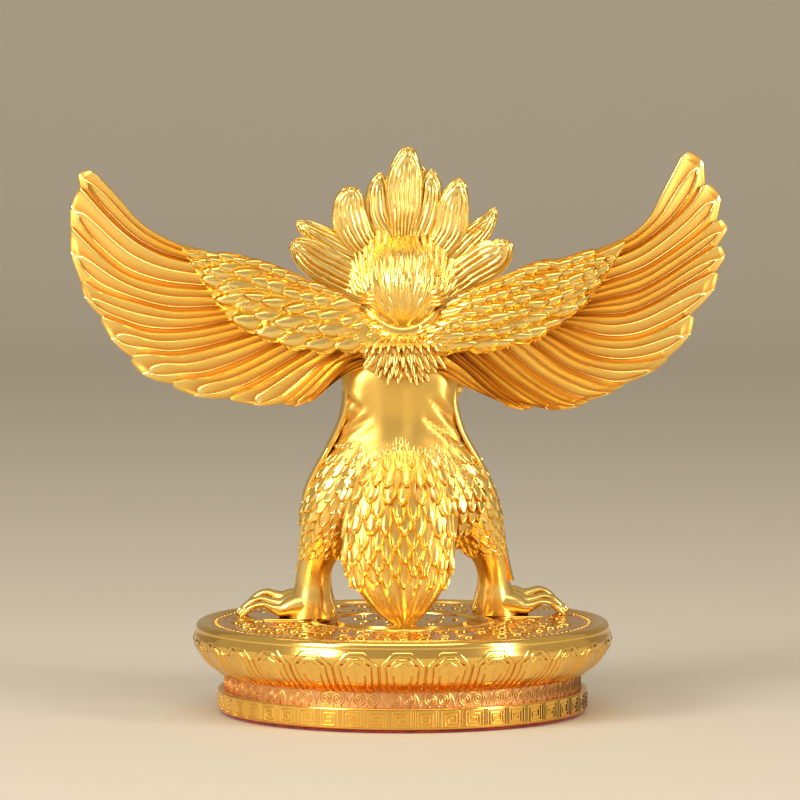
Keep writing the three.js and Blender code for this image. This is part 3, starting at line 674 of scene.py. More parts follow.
@dataclass(frozen=True)
class Leg:
    """A feathered thigh over a smooth shank, with three arched toes out and a spur in."""

    side: int
    stack: Stack
    foot: tuple[float, float]
    lean: float
    # Rows of thigh feathers: share of the leg, length, breadth, lift
    rows: Rows = (
        (0.05, 3.7, 1.8, 0.5), (0.1, 4.0, 2.0, 0.55), (0.147, 4.4, 2.3, 0.6),
        (0.194, 4.7, 2.5, 0.65), (0.24, 5.0, 2.7, 0.7), (0.287, 5.0, 2.8, 0.7),
        (0.334, 5.0, 2.8, 0.7), (0.38, 5.0, 2.8, 0.7), (0.425, 4.8, 2.7, 0.7),
        (0.468, 4.6, 2.5, 0.65), (0.51, 4.2, 2.3, 0.6), (0.548, 3.6, 2.1, 0.5),
    )
    # Toes: reach, set of the tip, and how much higher than the lowest arch the toe rises
    toes: Rows = (
        (34.3, 2.4, 0.0), (34.8, -1.0, 0.95), (33.6, -4.6, 2.1),
    )
    # Share of the reach, height, half breadth and half thickness of a toe
    arch: Rows = (
        (0, 3.0, 2.6, 2.8), (0.26, 2.5, 2.2, 2.2), (0.43, 1.75, 1.8, 1.5), (0.55, 2.15, 1.55, 0.95),
        (0.68, 2.95, 1.45, 0.6), (0.81, 2.65, 1.4, 0.6), (0.92, 1.5, 1.2, 0.7),
        (1.0, 0.4, 0.7, 0.4),
    )
    toe_start: float = 2.0  # y of the first toe's root, from the foot
    toe_step: float = 2.2  # from toe to toe, towards the front
    toe_flat: float = 0.12  # share of a toe before its arch begins
    toe_growth: float = 0.12  # how much thicker a higher arch makes the tip
    spur_spread: tuple[float, float] = (1.7, -2.0)  # y of the tips of both spurs
    # Claw from the toe's tip, spur, web behind the shank, and sole from the foot: x outwards, y,
    # z, half width and half height; a spur's y is a share of its spread
    claw: Rows = (
        (-1.5, 0, 2.1, 0.5, 0.4), (-0.5, 0, 1.7, 0.7, 0.5), (0.25, 0, 0.9, 0.5, 0.4),
        (0.3, 0, 0.15, 0.15, 0.12),
    )
    spur: Rows = (
        (-0.4, 0.3, 5.4, 3.0, 2.2), (-2.7, 0.7, 3.7, 1.5, 1.2), (-4.0, 1, 1.9, 0.95, 0.75),
        (-4.7, 1, 0.45, 0.5, 0.4),
    )
    web: Rows = (
        (-2.7, 2.6, 11.0, 0.3, 0.3), (-3.2, 2.7, 7.5, 0.4, 0.4), (-3.9, 2.3, 4.2, 0.4, 0.4),
        (-4.7, 1.9, 1.6, 0.35, 0.35),
    )
    sole: Rows = (
        (-2.2, -0.4, 1.0, 3.0, 1.0), (1.5, -0.2, 1.15, 4.0, 1.15), (4.6, -0.2, 1.1, 3.8, 1.1),
        (6.9, -0.4, 0.8, 2.6, 0.8),
    )

    def cast(self, figure: Figure) -> None:
        """Pours the leg, its feathers and its foot."""
        rings = self.stack.solid(40, 28)
        z = rings[..., 2]
        # The thigh under its feathers gets painted shade; the bare shank is lighter.
        feathered = 1 / (1 + np.exp(-(z - 13.2) * 2.5))
        figure.add(rings, 0.6 - 0.3 * feathered)
        other = RIGHT_LEG if self.side > 0 else LEFT_LEG
        hidden = (TAIL, TRUNK, other)
        clothe(figure, self.stack, self.rows, BACK_ARC, self.lean, hidden)
        clothe(figure, self.stack, plainer(self.rows), FRONT_ARC, self.lean, hidden[1:], PLAIN_LEAF)
        x, y = self.foot
        for i, (reach, set_y, raised) in enumerate(self.toes):
            start = np.array([x, y + self.toe_start - self.toe_step * i])
            end = np.array([self.side * reach, y + set_y])
            path = []
            for share, height, wide, thick in self.arch:
                along = min(max(share - self.toe_flat, 0) / (1 - self.toe_flat), 1)
                lifted = height + raised * math.sin(math.pi * along) ** 0.8
                spot = start + (end - start) * share
                path.append((*spot, lifted, wide, thick + self.toe_growth * raised * share))
            figure.rod(path, 28, 14, 0.62)
            figure.rod(self.claw, 9, 10, 0.8, self.side, end)
        for spread in self.spur_spread:
            spur = [(out, spread * share, *rest) for out, share, *rest in self.spur]
            figure.rod(spur, 18, 12, 0.62, self.side, self.foot)
        figure.rod(self.web, 20, 8, 0.8, self.side, self.foot)
        figure.rod(self.sole, 16, 18, 0.5, self.side, self.foot)


@dataclass(frozen=True)
class TailFan:
    """The tail that reaches down to the plinth: leaf feathers over a plate of flat ones."""

    back: Rows = (
        (0.0, 3.6, 1.8, 0.6), (0.03, 4.2, 2.1, 0.65), (0.065, 4.8, 2.5, 0.7),
        (0.11, 5.4, 3.0, 0.75), (0.165, 6.0, 3.4, 0.85), (0.23, 6.6, 3.8, 0.95),
        (0.3, 7.0, 4.0, 1.0), (0.372, 7.0, 4.0, 1.0), (0.444, 6.8, 3.9, 1.0),
        (0.514, 6.4, 3.7, 0.95), (0.58, 6.0, 3.5, 0.9),
    )
    front: Rows = (
        (0.38, 6.0, 3.8, 0.6), (0.46, 5.8, 3.7, 0.6), (0.54, 5.4, 3.5, 0.6), (0.61, 5.0, 3.2, 0.6),
    )
    plates: int = 6  # flat feathers at the tail's end
    plate_top: float = 9.5
    tooth_height: float = 0.7
    rib_height: float = 0.16

    def cast(self, figure: Figure) -> None:
        """Pours the tail's core with the long flat feathers of its end, and the leaf feathers.

        The end's feathers overlap like slats: over each, the surface rises by a saw tooth of
        the share that it has across the tail, and they converge with the outline.
        """
        t, angle = grid(np.linspace(0, 1, 46), 84)
        point, normal, _ = TAIL.axes(t, angle)
        across = (0.5 - 0.5 * np.cos(angle)) * self.plates
        slat = across - np.floor(across)
        tooth = np.where(across < self.plates / 2, 1 - slat, slat)
        rib = bump(slat, 0.5, 0.1)
        bare = 1 / (1 + np.exp((point[..., 2] - self.plate_top) * 1.2))
        fade = np.clip(point[..., 2] / 3, 0.15, 1)
        ends = np.abs(np.sin(angle)) ** 0.5
        out = bare * fade * ends * (self.tooth_height * tooth - 0.25 + self.rib_height * rib)
        # Painted light on the slats: lighter over each raised edge and rib, painted shade where a slat tucks
        # under the next.
        tone = np.where(bare > 0.5, 0.25 + 0.45 * tooth + 0.25 * rib, 0.3)
        figure.add(point + normal * out[..., None], tone)
        wide = math.radians(10)
        clothe(figure, TAIL, self.back, arc=(-wide, math.pi + wide), form=TAIL_LEAF)
        clothe(figure, TAIL, self.front, arc=(math.pi + wide, 2 * math.pi - wide), form=PLAIN_LEAF)


# Wings


HEAD_MIDDLE = 70.4  # level of the head's centre


@dataclass(frozen=True)
class Wing:
    """A wing: long feathers fan out from under a shoulder that small coverts clothe.

    Rows of x, z in hundredths. Each line runs from foot to tip along the raised edge of one
    long feather, from the leading edge inwards; the last is the inner edge of the wing. The
    shoulder's upper and lower edge run from its root outwards.
    """

    side: int
    lines: tuple[Rows, ...]
    swells: tuple[float, ...]  # how far each feather's end rounds out past its line's tips
    notches: tuple[float, ...]  # how far its end's corners draw in
    top: Rows
    bottom: Rows
    slope_low: tuple[float, float]  # slope of the coverts at the lower edge: root, wing end
    covert_rows: Rows  # share of the height, length, breadth and lift
    clearance: float  # no covert ends nearer to the head's middle
    clear_above: float = 63  # below this level they may
    overlap: float = 1.12
    ridge: float = 0.46
    fronts: int = 4  # lines of points that shape a long feather's front
    root_half: float = 3.4  # half the shoulder's depth at its root
    tip_half: float = 1.5
    covert_step: float = 0.86  # from covert to covert, as a share of their breadth
    full_height: float = 8  # where the shoulder is lower than this, the coverts are smaller
    pressed: float = 0.12  # what stays of a covert's height over the leading edge
    tuck: float = 0.2  # how far the coverts at the leading edge turn in from it, in radians

    @staticmethod
    def depth(x: Array) -> Array:
        """The sheet that the wing lies in bows to the back and comes forward at its tip."""
        away = np.abs(x) - 7
        return 5.5 + 0.1 * away - 0.0026 * away**2

    def rooted(self, number: int) -> Array:
        """A line with one more knot, which carries its foot under the coverts."""
        line = np.array(self.lines[number])
        return np.vstack([line[:1] - 0.7 * (line[1:2] - line[:1]), line])

    def feather(self, number: int) -> tuple[Array, Array]:
        """Rings and relief of one long feather.

        Across it, c runs from -1 at its raised edge to 1, tucked under the next feather. Two
        more ridges stand at c = 0.1 -+ 0.36 sqrt(1 - s^2), where s runs from 0 to 1 over the
        last stretch, so that they close in a U before the tip. Each ridge drops sharply on
        its upper side and slopes to the next, as clapboards do. Its end rounds out by
        swell * (1 - c^2)^0.7 and its corners draw in by |c|^4. Its front is plainer.
        """
        t = np.concatenate([np.linspace(0, 0.78, 16), np.linspace(0.82, 1, 13)])[:, None]
        s = np.clip((t - 0.8) / (0.945 - 0.8), 0, 1)
        middle, dip = 0.1, -0.3
        q = 0.36 * np.sqrt(1 - s**2)
        first, second = middle - q, middle + q
        crest = self.ridge * (t < 0.95)
        # Place across, height and relief of each line of points: down the back, then the front. The relief
        # paints a highlight on each ridge and shade in each dip.
        columns = [
            (-1, -0.5, 0.0), (-0.965, 0.3, 0.9), (-0.92, 0.5, 1.0), (-0.86, 0.26, 0.8), (-0.76, 0.04, 0.5),
            (first - 0.09, dip, 0.0), (first - 0.045, 0.75 * crest, 0.85), (first, crest, 1.0),
            (np.minimum(first + 0.06, middle), 0.4 * crest, 0.75),
            (np.minimum(first + 0.16, middle), 0.04 * crest, 0.5),
            (np.maximum(second - 0.09, middle), dip, 0.0),
            (np.maximum(second - 0.045, middle), 0.75 * crest, 0.85), (second, crest, 1.0),
            (second + 0.06, 0.4 * crest, 0.75), (second + 0.16, 0, 0.45), (1, -0.2, 0.05),
            (0.55, 0, 0.5), (0.1, 0.25, 0.8), (-0.1, 0.25, 0.8), (-0.6, 0, 0.5),
        ]
        backs = len(columns) - self.fronts
        across, height, relief = zip(*columns)
        c, carved = (level(*[part + 0 * t for part in parts])[:, 0] for parts in (across, height))
        upper, lower = (spline(self.rooted(number + i), t[:, 0]) for i in (0, 1))
        share = (c + 1) / 2 * self.overlap
        spot = upper[:, None] + (lower - upper)[:, None] * share[..., None]
        ahead = unit(upper[-1] + lower[-1] - upper[-3] - lower[-3])
        notch = self.notches[number]
        reach = self.swells[number] * np.clip(1 - c**2, 0, 1) ** 0.7 + 0.2 * notch - notch * np.abs(c) ** 4
        spot = spot + ahead * (reach * t**9)[..., None]
        thin = (1 - 0.4 * t) * np.where(t > 0.995, 0.45, 1) * np.clip(0.4 + 3 * t, 0, 1)
        rise = 0.3 + 1.2 * (0.5 - c / 2) * thin + carved * thin
        rise = np.where(np.arange(len(columns)) < backs, rise, -0.7 - 0.45 * thin + carved)
        y = self.depth(spot[..., 0]) + rise
        # Painted shade towards the feather's foot, under the coverts.
        return level(spot[..., 0], y, spot[..., 1]), np.array(relief) * np.clip(0.45 + 1.6 * t, 0, 1)

    def shoulder(self, t: Array, turn: Array) -> Array:
        """Point of the shoulder at share t from its root and an angle round its section."""
        upper, lower = spline(self.top, t), spline(self.bottom, t)
        share = (0.5 + 0.5 * np.cos(turn))[..., None]
        spot = lower + (upper - lower) * share
        half = self.root_half + (self.tip_half - self.root_half) * np.sqrt(np.clip(t, 0, 1))
        return level(spot[..., 0], self.depth(spot[..., 0]) + half * np.sin(turn), spot[..., 1])

    def skin(self, spot: Array, face: int) -> Array:
        """Depth of the wing's skin at points x, z: the shoulder's nearest spot, or the fan."""
        turn = np.linspace(0.15, math.pi - 0.15, 36)
        t, turn = np.meshgrid(np.linspace(0, 1, 70), turn, indexing="ij")
        net = self.shoulder(t, face * turn).reshape(-1, 3)
        gap = (spot[:, None, 0] - net[None, :, 0]) ** 2 + (spot[:, None, 1] - net[None, :, 2]) ** 2
        nearest = gap.argmin(1)
        fan = self.depth(spot[:, 0]) + (1.5 if face > 0 else -1.0)
        held = np.where(gap[np.arange(len(spot)), nearest] < 0.7, net[nearest, 1], fan)
        return np.maximum(held, fan) if face > 0 else np.minimum(held, fan)

    def coverts(self, figure: Figure, face: int) -> None:
        """Clothes one face of the shoulder with rows of coverts that run out from its root.

        What would stand over the leading edge is pressed down to it.
        """
        if face > 0:
            rows, form, height, reach, margin = self.covert_rows, COVERT, 1, 1.0, 0.45
        else:
            rows, form, height, reach, margin = plainer(self.covert_rows), PLAIN_LEAF, 0.75, 0.86, -0.5
        form = replace(form, swerve=-0.5 * self.side * face)
        edge = np.array(self.top)[:: self.side]
        for i, (share, length, breadth, lift) in enumerate(rows):
            share = height * share
            fine = np.linspace(0.02, reach - 0.14 * share, 200)
            low, high = spline(self.bottom, fine), spline(self.top, fine)
            path = low * (1 - share) + high * share
            tall = np.linalg.norm(high - low, axis=1)
            grow = np.clip(0.62 + 0.95 * fine, 0, 1) * np.clip(tall / self.full_height, 0.45, 1)
            steps = np.linalg.norm(np.diff(path, axis=0), axis=1) / grow[1:]
            run = np.concatenate([[0], steps.cumsum()])
            count = max(int(run[-1] / (breadth * self.covert_step)), 3)
            nth = np.arange(count) + (0.85 if i % 2 else 0.4) + figure.chance.normal(0, 0.08, count)
            t = np.interp(nth / count * run[-1], run, fine)
            end = np.stack([np.interp(t, fine, path[:, 0]), np.interp(t, fine, path[:, 1])], 1)
            base = self.slope_low[0] + (self.slope_low[1] - self.slope_low[0]) * t
            ahead = course(self.top, t, 0.03)
            lead = np.arctan2(ahead[:, 1], self.side * ahead[:, 0]) - self.tuck
            slope = base + (lead - base) * np.clip(share, 0, 1) ** 1.5 + figure.chance.normal(0, 0.1, count)
            size = np.array([length, breadth, lift]) * np.interp(t, fine, grow)[:, None]
            size = size * figure.chance.normal(1, 0.12, (count, 3))
            away = np.hypot(end[:, 0], end[:, 1] - HEAD_MIDDLE)
            clear = (away > self.clearance) | (end[:, 1] < self.clear_above)
            end, slope, size = end[clear], slope[clear], size[clear]
            out = np.stack([self.side * np.cos(slope), np.sin(slope)], 1)
            start = end - out * size[:, :1]
            root, tip = (
                level(spot[:, 0], self.skin(spot, face) + face * raised, spot[:, 1])
                for spot, raised in ((start, -0.25 * lift), (end, 0.1))
            )
            way = unit(tip - root)
            normal = np.array([0, face, 0]) - way * way[:, 1:2] * face
            size[:, 0] = np.linalg.norm(tip - root, axis=1)
            rings, tone = form.shells(root, way, unit(normal), size)
            limit = np.interp(rings[..., 0], edge[:, 0], edge[:, 1], 99, 99) + margin
            over = np.maximum(rings[..., 2] - limit, 0)
            rings[..., 2] = np.where(over > 0, limit + self.pressed * over, rings[..., 2])
            figure.add(rings, tone)

    def cast(self, figure: Figure) -> None:
        """Pours the wing."""
        for number in range(len(self.lines) - 1):
            figure.add(*self.feather(number))
        figure.add(self.shoulder(*grid(np.linspace(0, 1, 26), 26)), 0.4)
        self.coverts(figure, 1)
        self.coverts(figure, -1)


LEFT_WING = Wing(
    side=1,
    lines=(
        ((44.0, 78.5), (50.3, 81.2), (55.3, 84.6), (60.3, 90.4), (64.7, 94.8)),
        ((42.8, 75.4), (49.7, 77.0), (56.0, 80.2), (61.6, 85.0), (67.5, 91.5)),
        ((42.4, 70.1), (50.3, 70.8), (58.0, 73.1), (63.9, 77.7), (69.5, 83.3)),
        ((39.4, 65.9), (47.6, 65.5), (54.9, 67.0), (62.2, 69.1), (67.7, 72.2)),
        ((36.1, 63.0), (44.5, 61.3), (52.8, 61.1), (59.1, 63.0), (63.7, 64.5)),
        ((32.3, 60.1), (39.9, 57.8), (47.0, 56.3), (52.8, 56.5), (57.4, 56.1)),
        ((27.3, 57.6), (33.6, 54.4), (39.9, 52.1), (44.5, 51.5), (49.1, 50.3)),
        ((21.0, 56.1), (26.3, 52.8), (30.4, 50.3), (33.8, 48.8), (36.9, 47.1)),
        ((13.1, 56.3), (16.0, 54.4), (18.9, 51.5), (22.1, 48.4), (25.2, 46.1)),
        ((6.4, 55.9), (10.6, 54.9), (13.5, 52.4), (16.4, 49.2), (19.8, 46.3)),
        ((3.9, 54.4), (7.7, 53.8), (11.4, 52.4), (14.6, 50.3), (17.7, 47.8)),
    ),
    swells=(1.6, 0.9, 1.3, 1.1, 1.0, 1.7, 1.5, 1.0, 0.7, 0.4),
    notches=(1.0, 0.3, 0.5, 1.9, 1.2, 1.9, 1.9, 1.3, 1.3, 1.3),
    top=((3.5, 61.1), (7.7, 65.3), (12.0, 68.7), (17.7, 71.0), (22.9, 73.3), (28.1, 75.4),
         (34.0, 77.0), (39.9, 77.9), (45.7, 79.5)),
    bottom=((3.5, 54.4), (7.7, 55.7), (12.0, 57.0), (17.3, 57.4), (22.9, 57.4), (29.4, 59.3),
            (35.7, 62.8), (41.1, 69.9), (46.1, 78.3)),
    slope_low=(-0.8, -0.1),
    covert_rows=(
        (0.0, 9.2, 6.4, 1.1), (0.22, 7.8, 5.2, 0.95), (0.45, 6.8, 4.5, 0.85),
        (0.68, 6.0, 3.9, 0.75), (0.9, 5.0, 3.2, 0.6),
    ),
    clearance=13.6,
)

RIGHT_WING = Wing(
    side=-1,
    lines=(
        ((-42.1, 79.1), (-47.5, 81.6), (-51.3, 85.0), (-54.4, 90.8), (-58.6, 98.8)),
        ((-42.9, 76.0), (-49.6, 78.9), (-55.5, 83.3), (-60.1, 87.9), (-63.2, 92.5)),
        ((-43.4, 71.4), (-50.1, 73.7), (-56.3, 77.4), (-61.6, 81.2), (-66.0, 84.8)),
        ((-41.9, 67.6), (-48.6, 69.0), (-54.6, 72.0), (-60.4, 75.8), (-66.2, 79.4)),
        ((-39.2, 64.5), (-45.9, 64.4), (-52.1, 66.6), (-58.6, 70.3), (-66.0, 74.1)),
        ((-35.4, 61.6), (-41.3, 59.7), (-48.0, 59.5), (-54.2, 61.6), (-60.9, 65.1)),
        ((-32.1, 59.5), (-38.1, 56.1), (-44.4, 54.7), (-50.7, 54.9), (-56.1, 56.1)),
        ((-27.5, 58.0), (-33.3, 53.6), (-38.8, 51.1), (-42.9, 49.8), (-46.9, 50.3)),
        ((-21.6, 56.7), (-27.1, 52.1), (-32.1, 48.8), (-35.8, 47.1), (-39.6, 46.9)),
        ((-16.2, 56.3), (-21.4, 51.9), (-26.2, 48.6), (-30.0, 46.3), (-33.5, 44.8)),
        ((-12.8, 55.9), (-17.0, 52.4), (-20.8, 49.0), (-24.1, 46.7), (-27.7, 45.5)),
        ((-10.3, 55.3), (-13.3, 53.0), (-16.2, 50.3), (-19.5, 47.8), (-22.9, 45.2)),
        ((-3.2, 52.4), (-7.0, 53.0), (-10.3, 51.5), (-13.7, 49.4), (-17.6, 48.0)),
    ),
    swells=(2.0, 1.8, 1.9, 1.4, 2.2, 2.0, 2.0, 1.0, 0.6, 0.9, 0.7, 0.4),
    notches=(1.4, 1.9, 1.9, 1.2, 1.9, 1.9, 1.9, 1.3, 1.2, 1.2, 1.2, 1.2),
    top=((-3.6, 61.1), (-7.0, 64.5), (-11.2, 68.2), (-16.6, 71.2), (-22.9, 73.7), (-29.1, 76.0),
         (-35.0, 76.8), (-40.9, 78.7), (-46.7, 81.0)),
    bottom=((-3.6, 54.4), (-7.8, 56.1), (-12.4, 57.8), (-18.3, 58.0), (-24.5, 58.8),
            (-30.4, 60.9), (-35.8, 64.5), (-40.9, 69.7), (-45.5, 77.4)),
    slope_low=(-0.35, 0.3),
    covert_rows=(
        (0.0, 8.2, 4.4, 0.95), (0.19, 7.6, 3.9, 0.9), (0.37, 7.2, 3.6, 0.85), (0.54, 6.8, 3.3, 0.8),
        (0.71, 6.2, 3.0, 0.75), (0.88, 5.4, 2.8, 0.65),
    ),
    clearance=12.6,
)


# Head


@dataclass(frozen=True)
class Head:
    """A round head with short combed hair behind and a hooked beak in front."""

    centre: Spot = (0, -0.4, HEAD_MIDDLE)
    half: Spot = (9.2, 10.6, 9.9)
    brow_depth: float = 0.94  # the face's half of the skull, as a share of the back's
    whorl: Spot = (0, 0.42, -0.91)  # where the hair starts, seen from the centre
    first_row: float = 9  # degrees from the whorl, as for the next two
    last_row: float = 135
    row_step: float = 10.5
    stroke_step: float = 1.35
    stroke: Spot = (3.2, 1.5, 0.6)  # length, breadth and lift of a stroke near the whorl
    ear_line: float = -0.07  # y where the ears part hair and face, seen from the centre
    ear_breadth: float = 0.31
    forehead: float = -0.55  # no hair grows further in front
    eye: Spot = (4.2, -9.1, 72.4)
    # The face: x on one side, y, z, half width and half height
    beak: Rows = (
        (0, -8.0, 71.0, 3.6, 3.0), (0, -10.6, 70.8, 3.0, 2.7), (0, -13.2, 69.4, 2.3, 2.1),
        (0, -15.2, 67.2, 1.4, 1.3), (0, -15.9, 64.9, 0.35, 0.4),
    )
    lower_beak: Rows = ((0, -8.4, 67.0, 3.0, 1.5), (0, -11.2, 66.4, 2.2, 1.2), (0, -13.2, 65.8, 0.7, 0.5))
    brow: Rows = (
        (0.9, -11.0, 73.6, 0.8, 0.8), (3.2, -10.8, 75.0, 0.95, 0.85), (5.8, -9.0, 75.7, 0.85, 0.75),
        (8.0, -6.0, 75.2, 0.5, 0.5),
    )
    ear: Rows = (
        (8.7, -3.2, 72.6, 0.8, 0.7), (9.5, -3.6, 71.0, 1.1, 0.9), (9.3, -3.8, 68.4, 0.9, 0.8),
        (9.0, -4.0, 66.6, 1.1, 1.0),
    )

    def cast(self, figure: Figure) -> None:
        """Pours the skull, its hair and the face."""
        way = facing(*grid(np.linspace(math.pi / 2 - 0.02, 0.02 - math.pi / 2, 34), 44))
        depth = np.where(way[..., 1:2] < 0, np.array([1, self.brow_depth, 1]), 1)
        figure.add(self.centre + way * np.array(self.half) * depth, 0.5)
        self.hair(figure)
        self.face(figure)

    def hair(self, figure: Figure) -> None:
        """Pours rows of strokes round a whorl at the nape, combed up into the crest.

        Each stroke follows the skull away from the whorl. Those near the skull's outline lean
        out from it, by a share that grows as they lie further forward.
        """
        half = np.array(self.half)
        whorl = unit(np.array(self.whorl))
        across = np.array([1.0, 0, 0])
        over = np.cross(whorl, across)
        for i, away in enumerate(np.radians(np.arange(self.first_row, self.last_row, self.row_step))):
            count = int(2 * math.pi * half[0] * math.sin(away) / self.stroke_step)
            turn = ((np.arange(count) + 0.5 * (i % 2)) * 2 * math.pi / count)[:, None]
            angle = away + figure.chance.normal(0, 0.05, (count, 1))
            spot = whorl * np.cos(angle) + (across * np.cos(turn) + over * np.sin(turn)) * np.sin(angle)
            y = spot[:, 1]
            spot = spot[(np.abs(y - self.ear_line) > self.ear_breadth) & (y > self.forehead)]
            normal = unit(spot / half)
            way = spot * (spot @ whorl)[:, None] - whorl
            side = np.cross(normal, way)
            way = unit((way + side * figure.chance.normal(0, 0.07, (len(spot), 1))) * half)
            lean = np.clip(1.1 - 1.7 * spot[:, 1:2], 0, 1) * (spot[:, 1:2] > 0)
            outward = unit((spot - whorl) * np.array([1, 0, 1]) + np.array([0, 0.12, 0]))
            way = unit(way * (1 - lean) + outward * lean)
            normal = normal * (1 - lean) + np.array([0, 1, 0]) * lean
            normal = unit(normal - way * (way * normal).sum(-1, keepdims=True))
            size = np.array(self.stroke) + np.array([2.8 * math.sin(away), 0, 0])
            size = size * figure.chance.normal(1, 0.14, (len(spot), 3))
            size = size * (1 + lean * np.array([0.25, 0, -0.45]))
            root = self.centre + spot * half - normal * 0.1
            figure.add(*HAIR_STROKE.shells(root, way, normal, size))

    def level_behind(self, x: Array, z: Array) -> Array:
        """Depth of the skull's back at points x, z, or of its middle beyond its outline."""
        u, v = (x - self.centre[0]) / self.half[0], (z - self.centre[2]) / self.half[2]
        return self.centre[1] + self.half[1] * np.sqrt(np.clip(1 - u**2 - v**2, 0, 1))

    def face(self, figure: Figure) -> None:
        """Pours a calm bird's face of plain make: hooked beak, lidded eyes, brows and ears."""
        figure.rod(self.beak, 26, 24, 0.7)
        figure.rod(self.lower_beak, 14, 18, 0.6)
        for side in (-1, 1):
            eye_x, eye_y, eye_z = self.eye[0] * side, *self.eye[1:]
            figure.add(ball((eye_x, eye_y, eye_z), (1.55, 1.2, 1.3), 16, 20), 0.95)
            for lid, height in ((0.55, 1.0), (-0.5, -0.85)):
                rim = []
                for c in (-1, -0.5, 0, 0.5, 1):
                    z = eye_z + height * (1 - c * c) + lid * 0.2
                    rim.append((eye_x + 2.1 * c, -9.75 + 0.75 * c * c, z, 0.32, 0.32))
                figure.rod(rim, 14, 8, 0.8)
            figure.rod(self.brow, 20, 12, 0.85, side)
            # A small lump on the beak in the darkest colour: painted shade where a nostril would be.
            figure.add(ball((1.9 * side, -11.9, 70.9), (0.5, 0.6, 0.4), 8, 10), 0.05)
            figure.rod(self.ear, 16, 12, 0.75, side)


@dataclass(frozen=True)
class Lobe:
    """One flame of the crest: rows of x, z and half width from root to tip, and its depth."""

    rows: Rows
    depth: tuple[float, float]
    flutes: int = 7


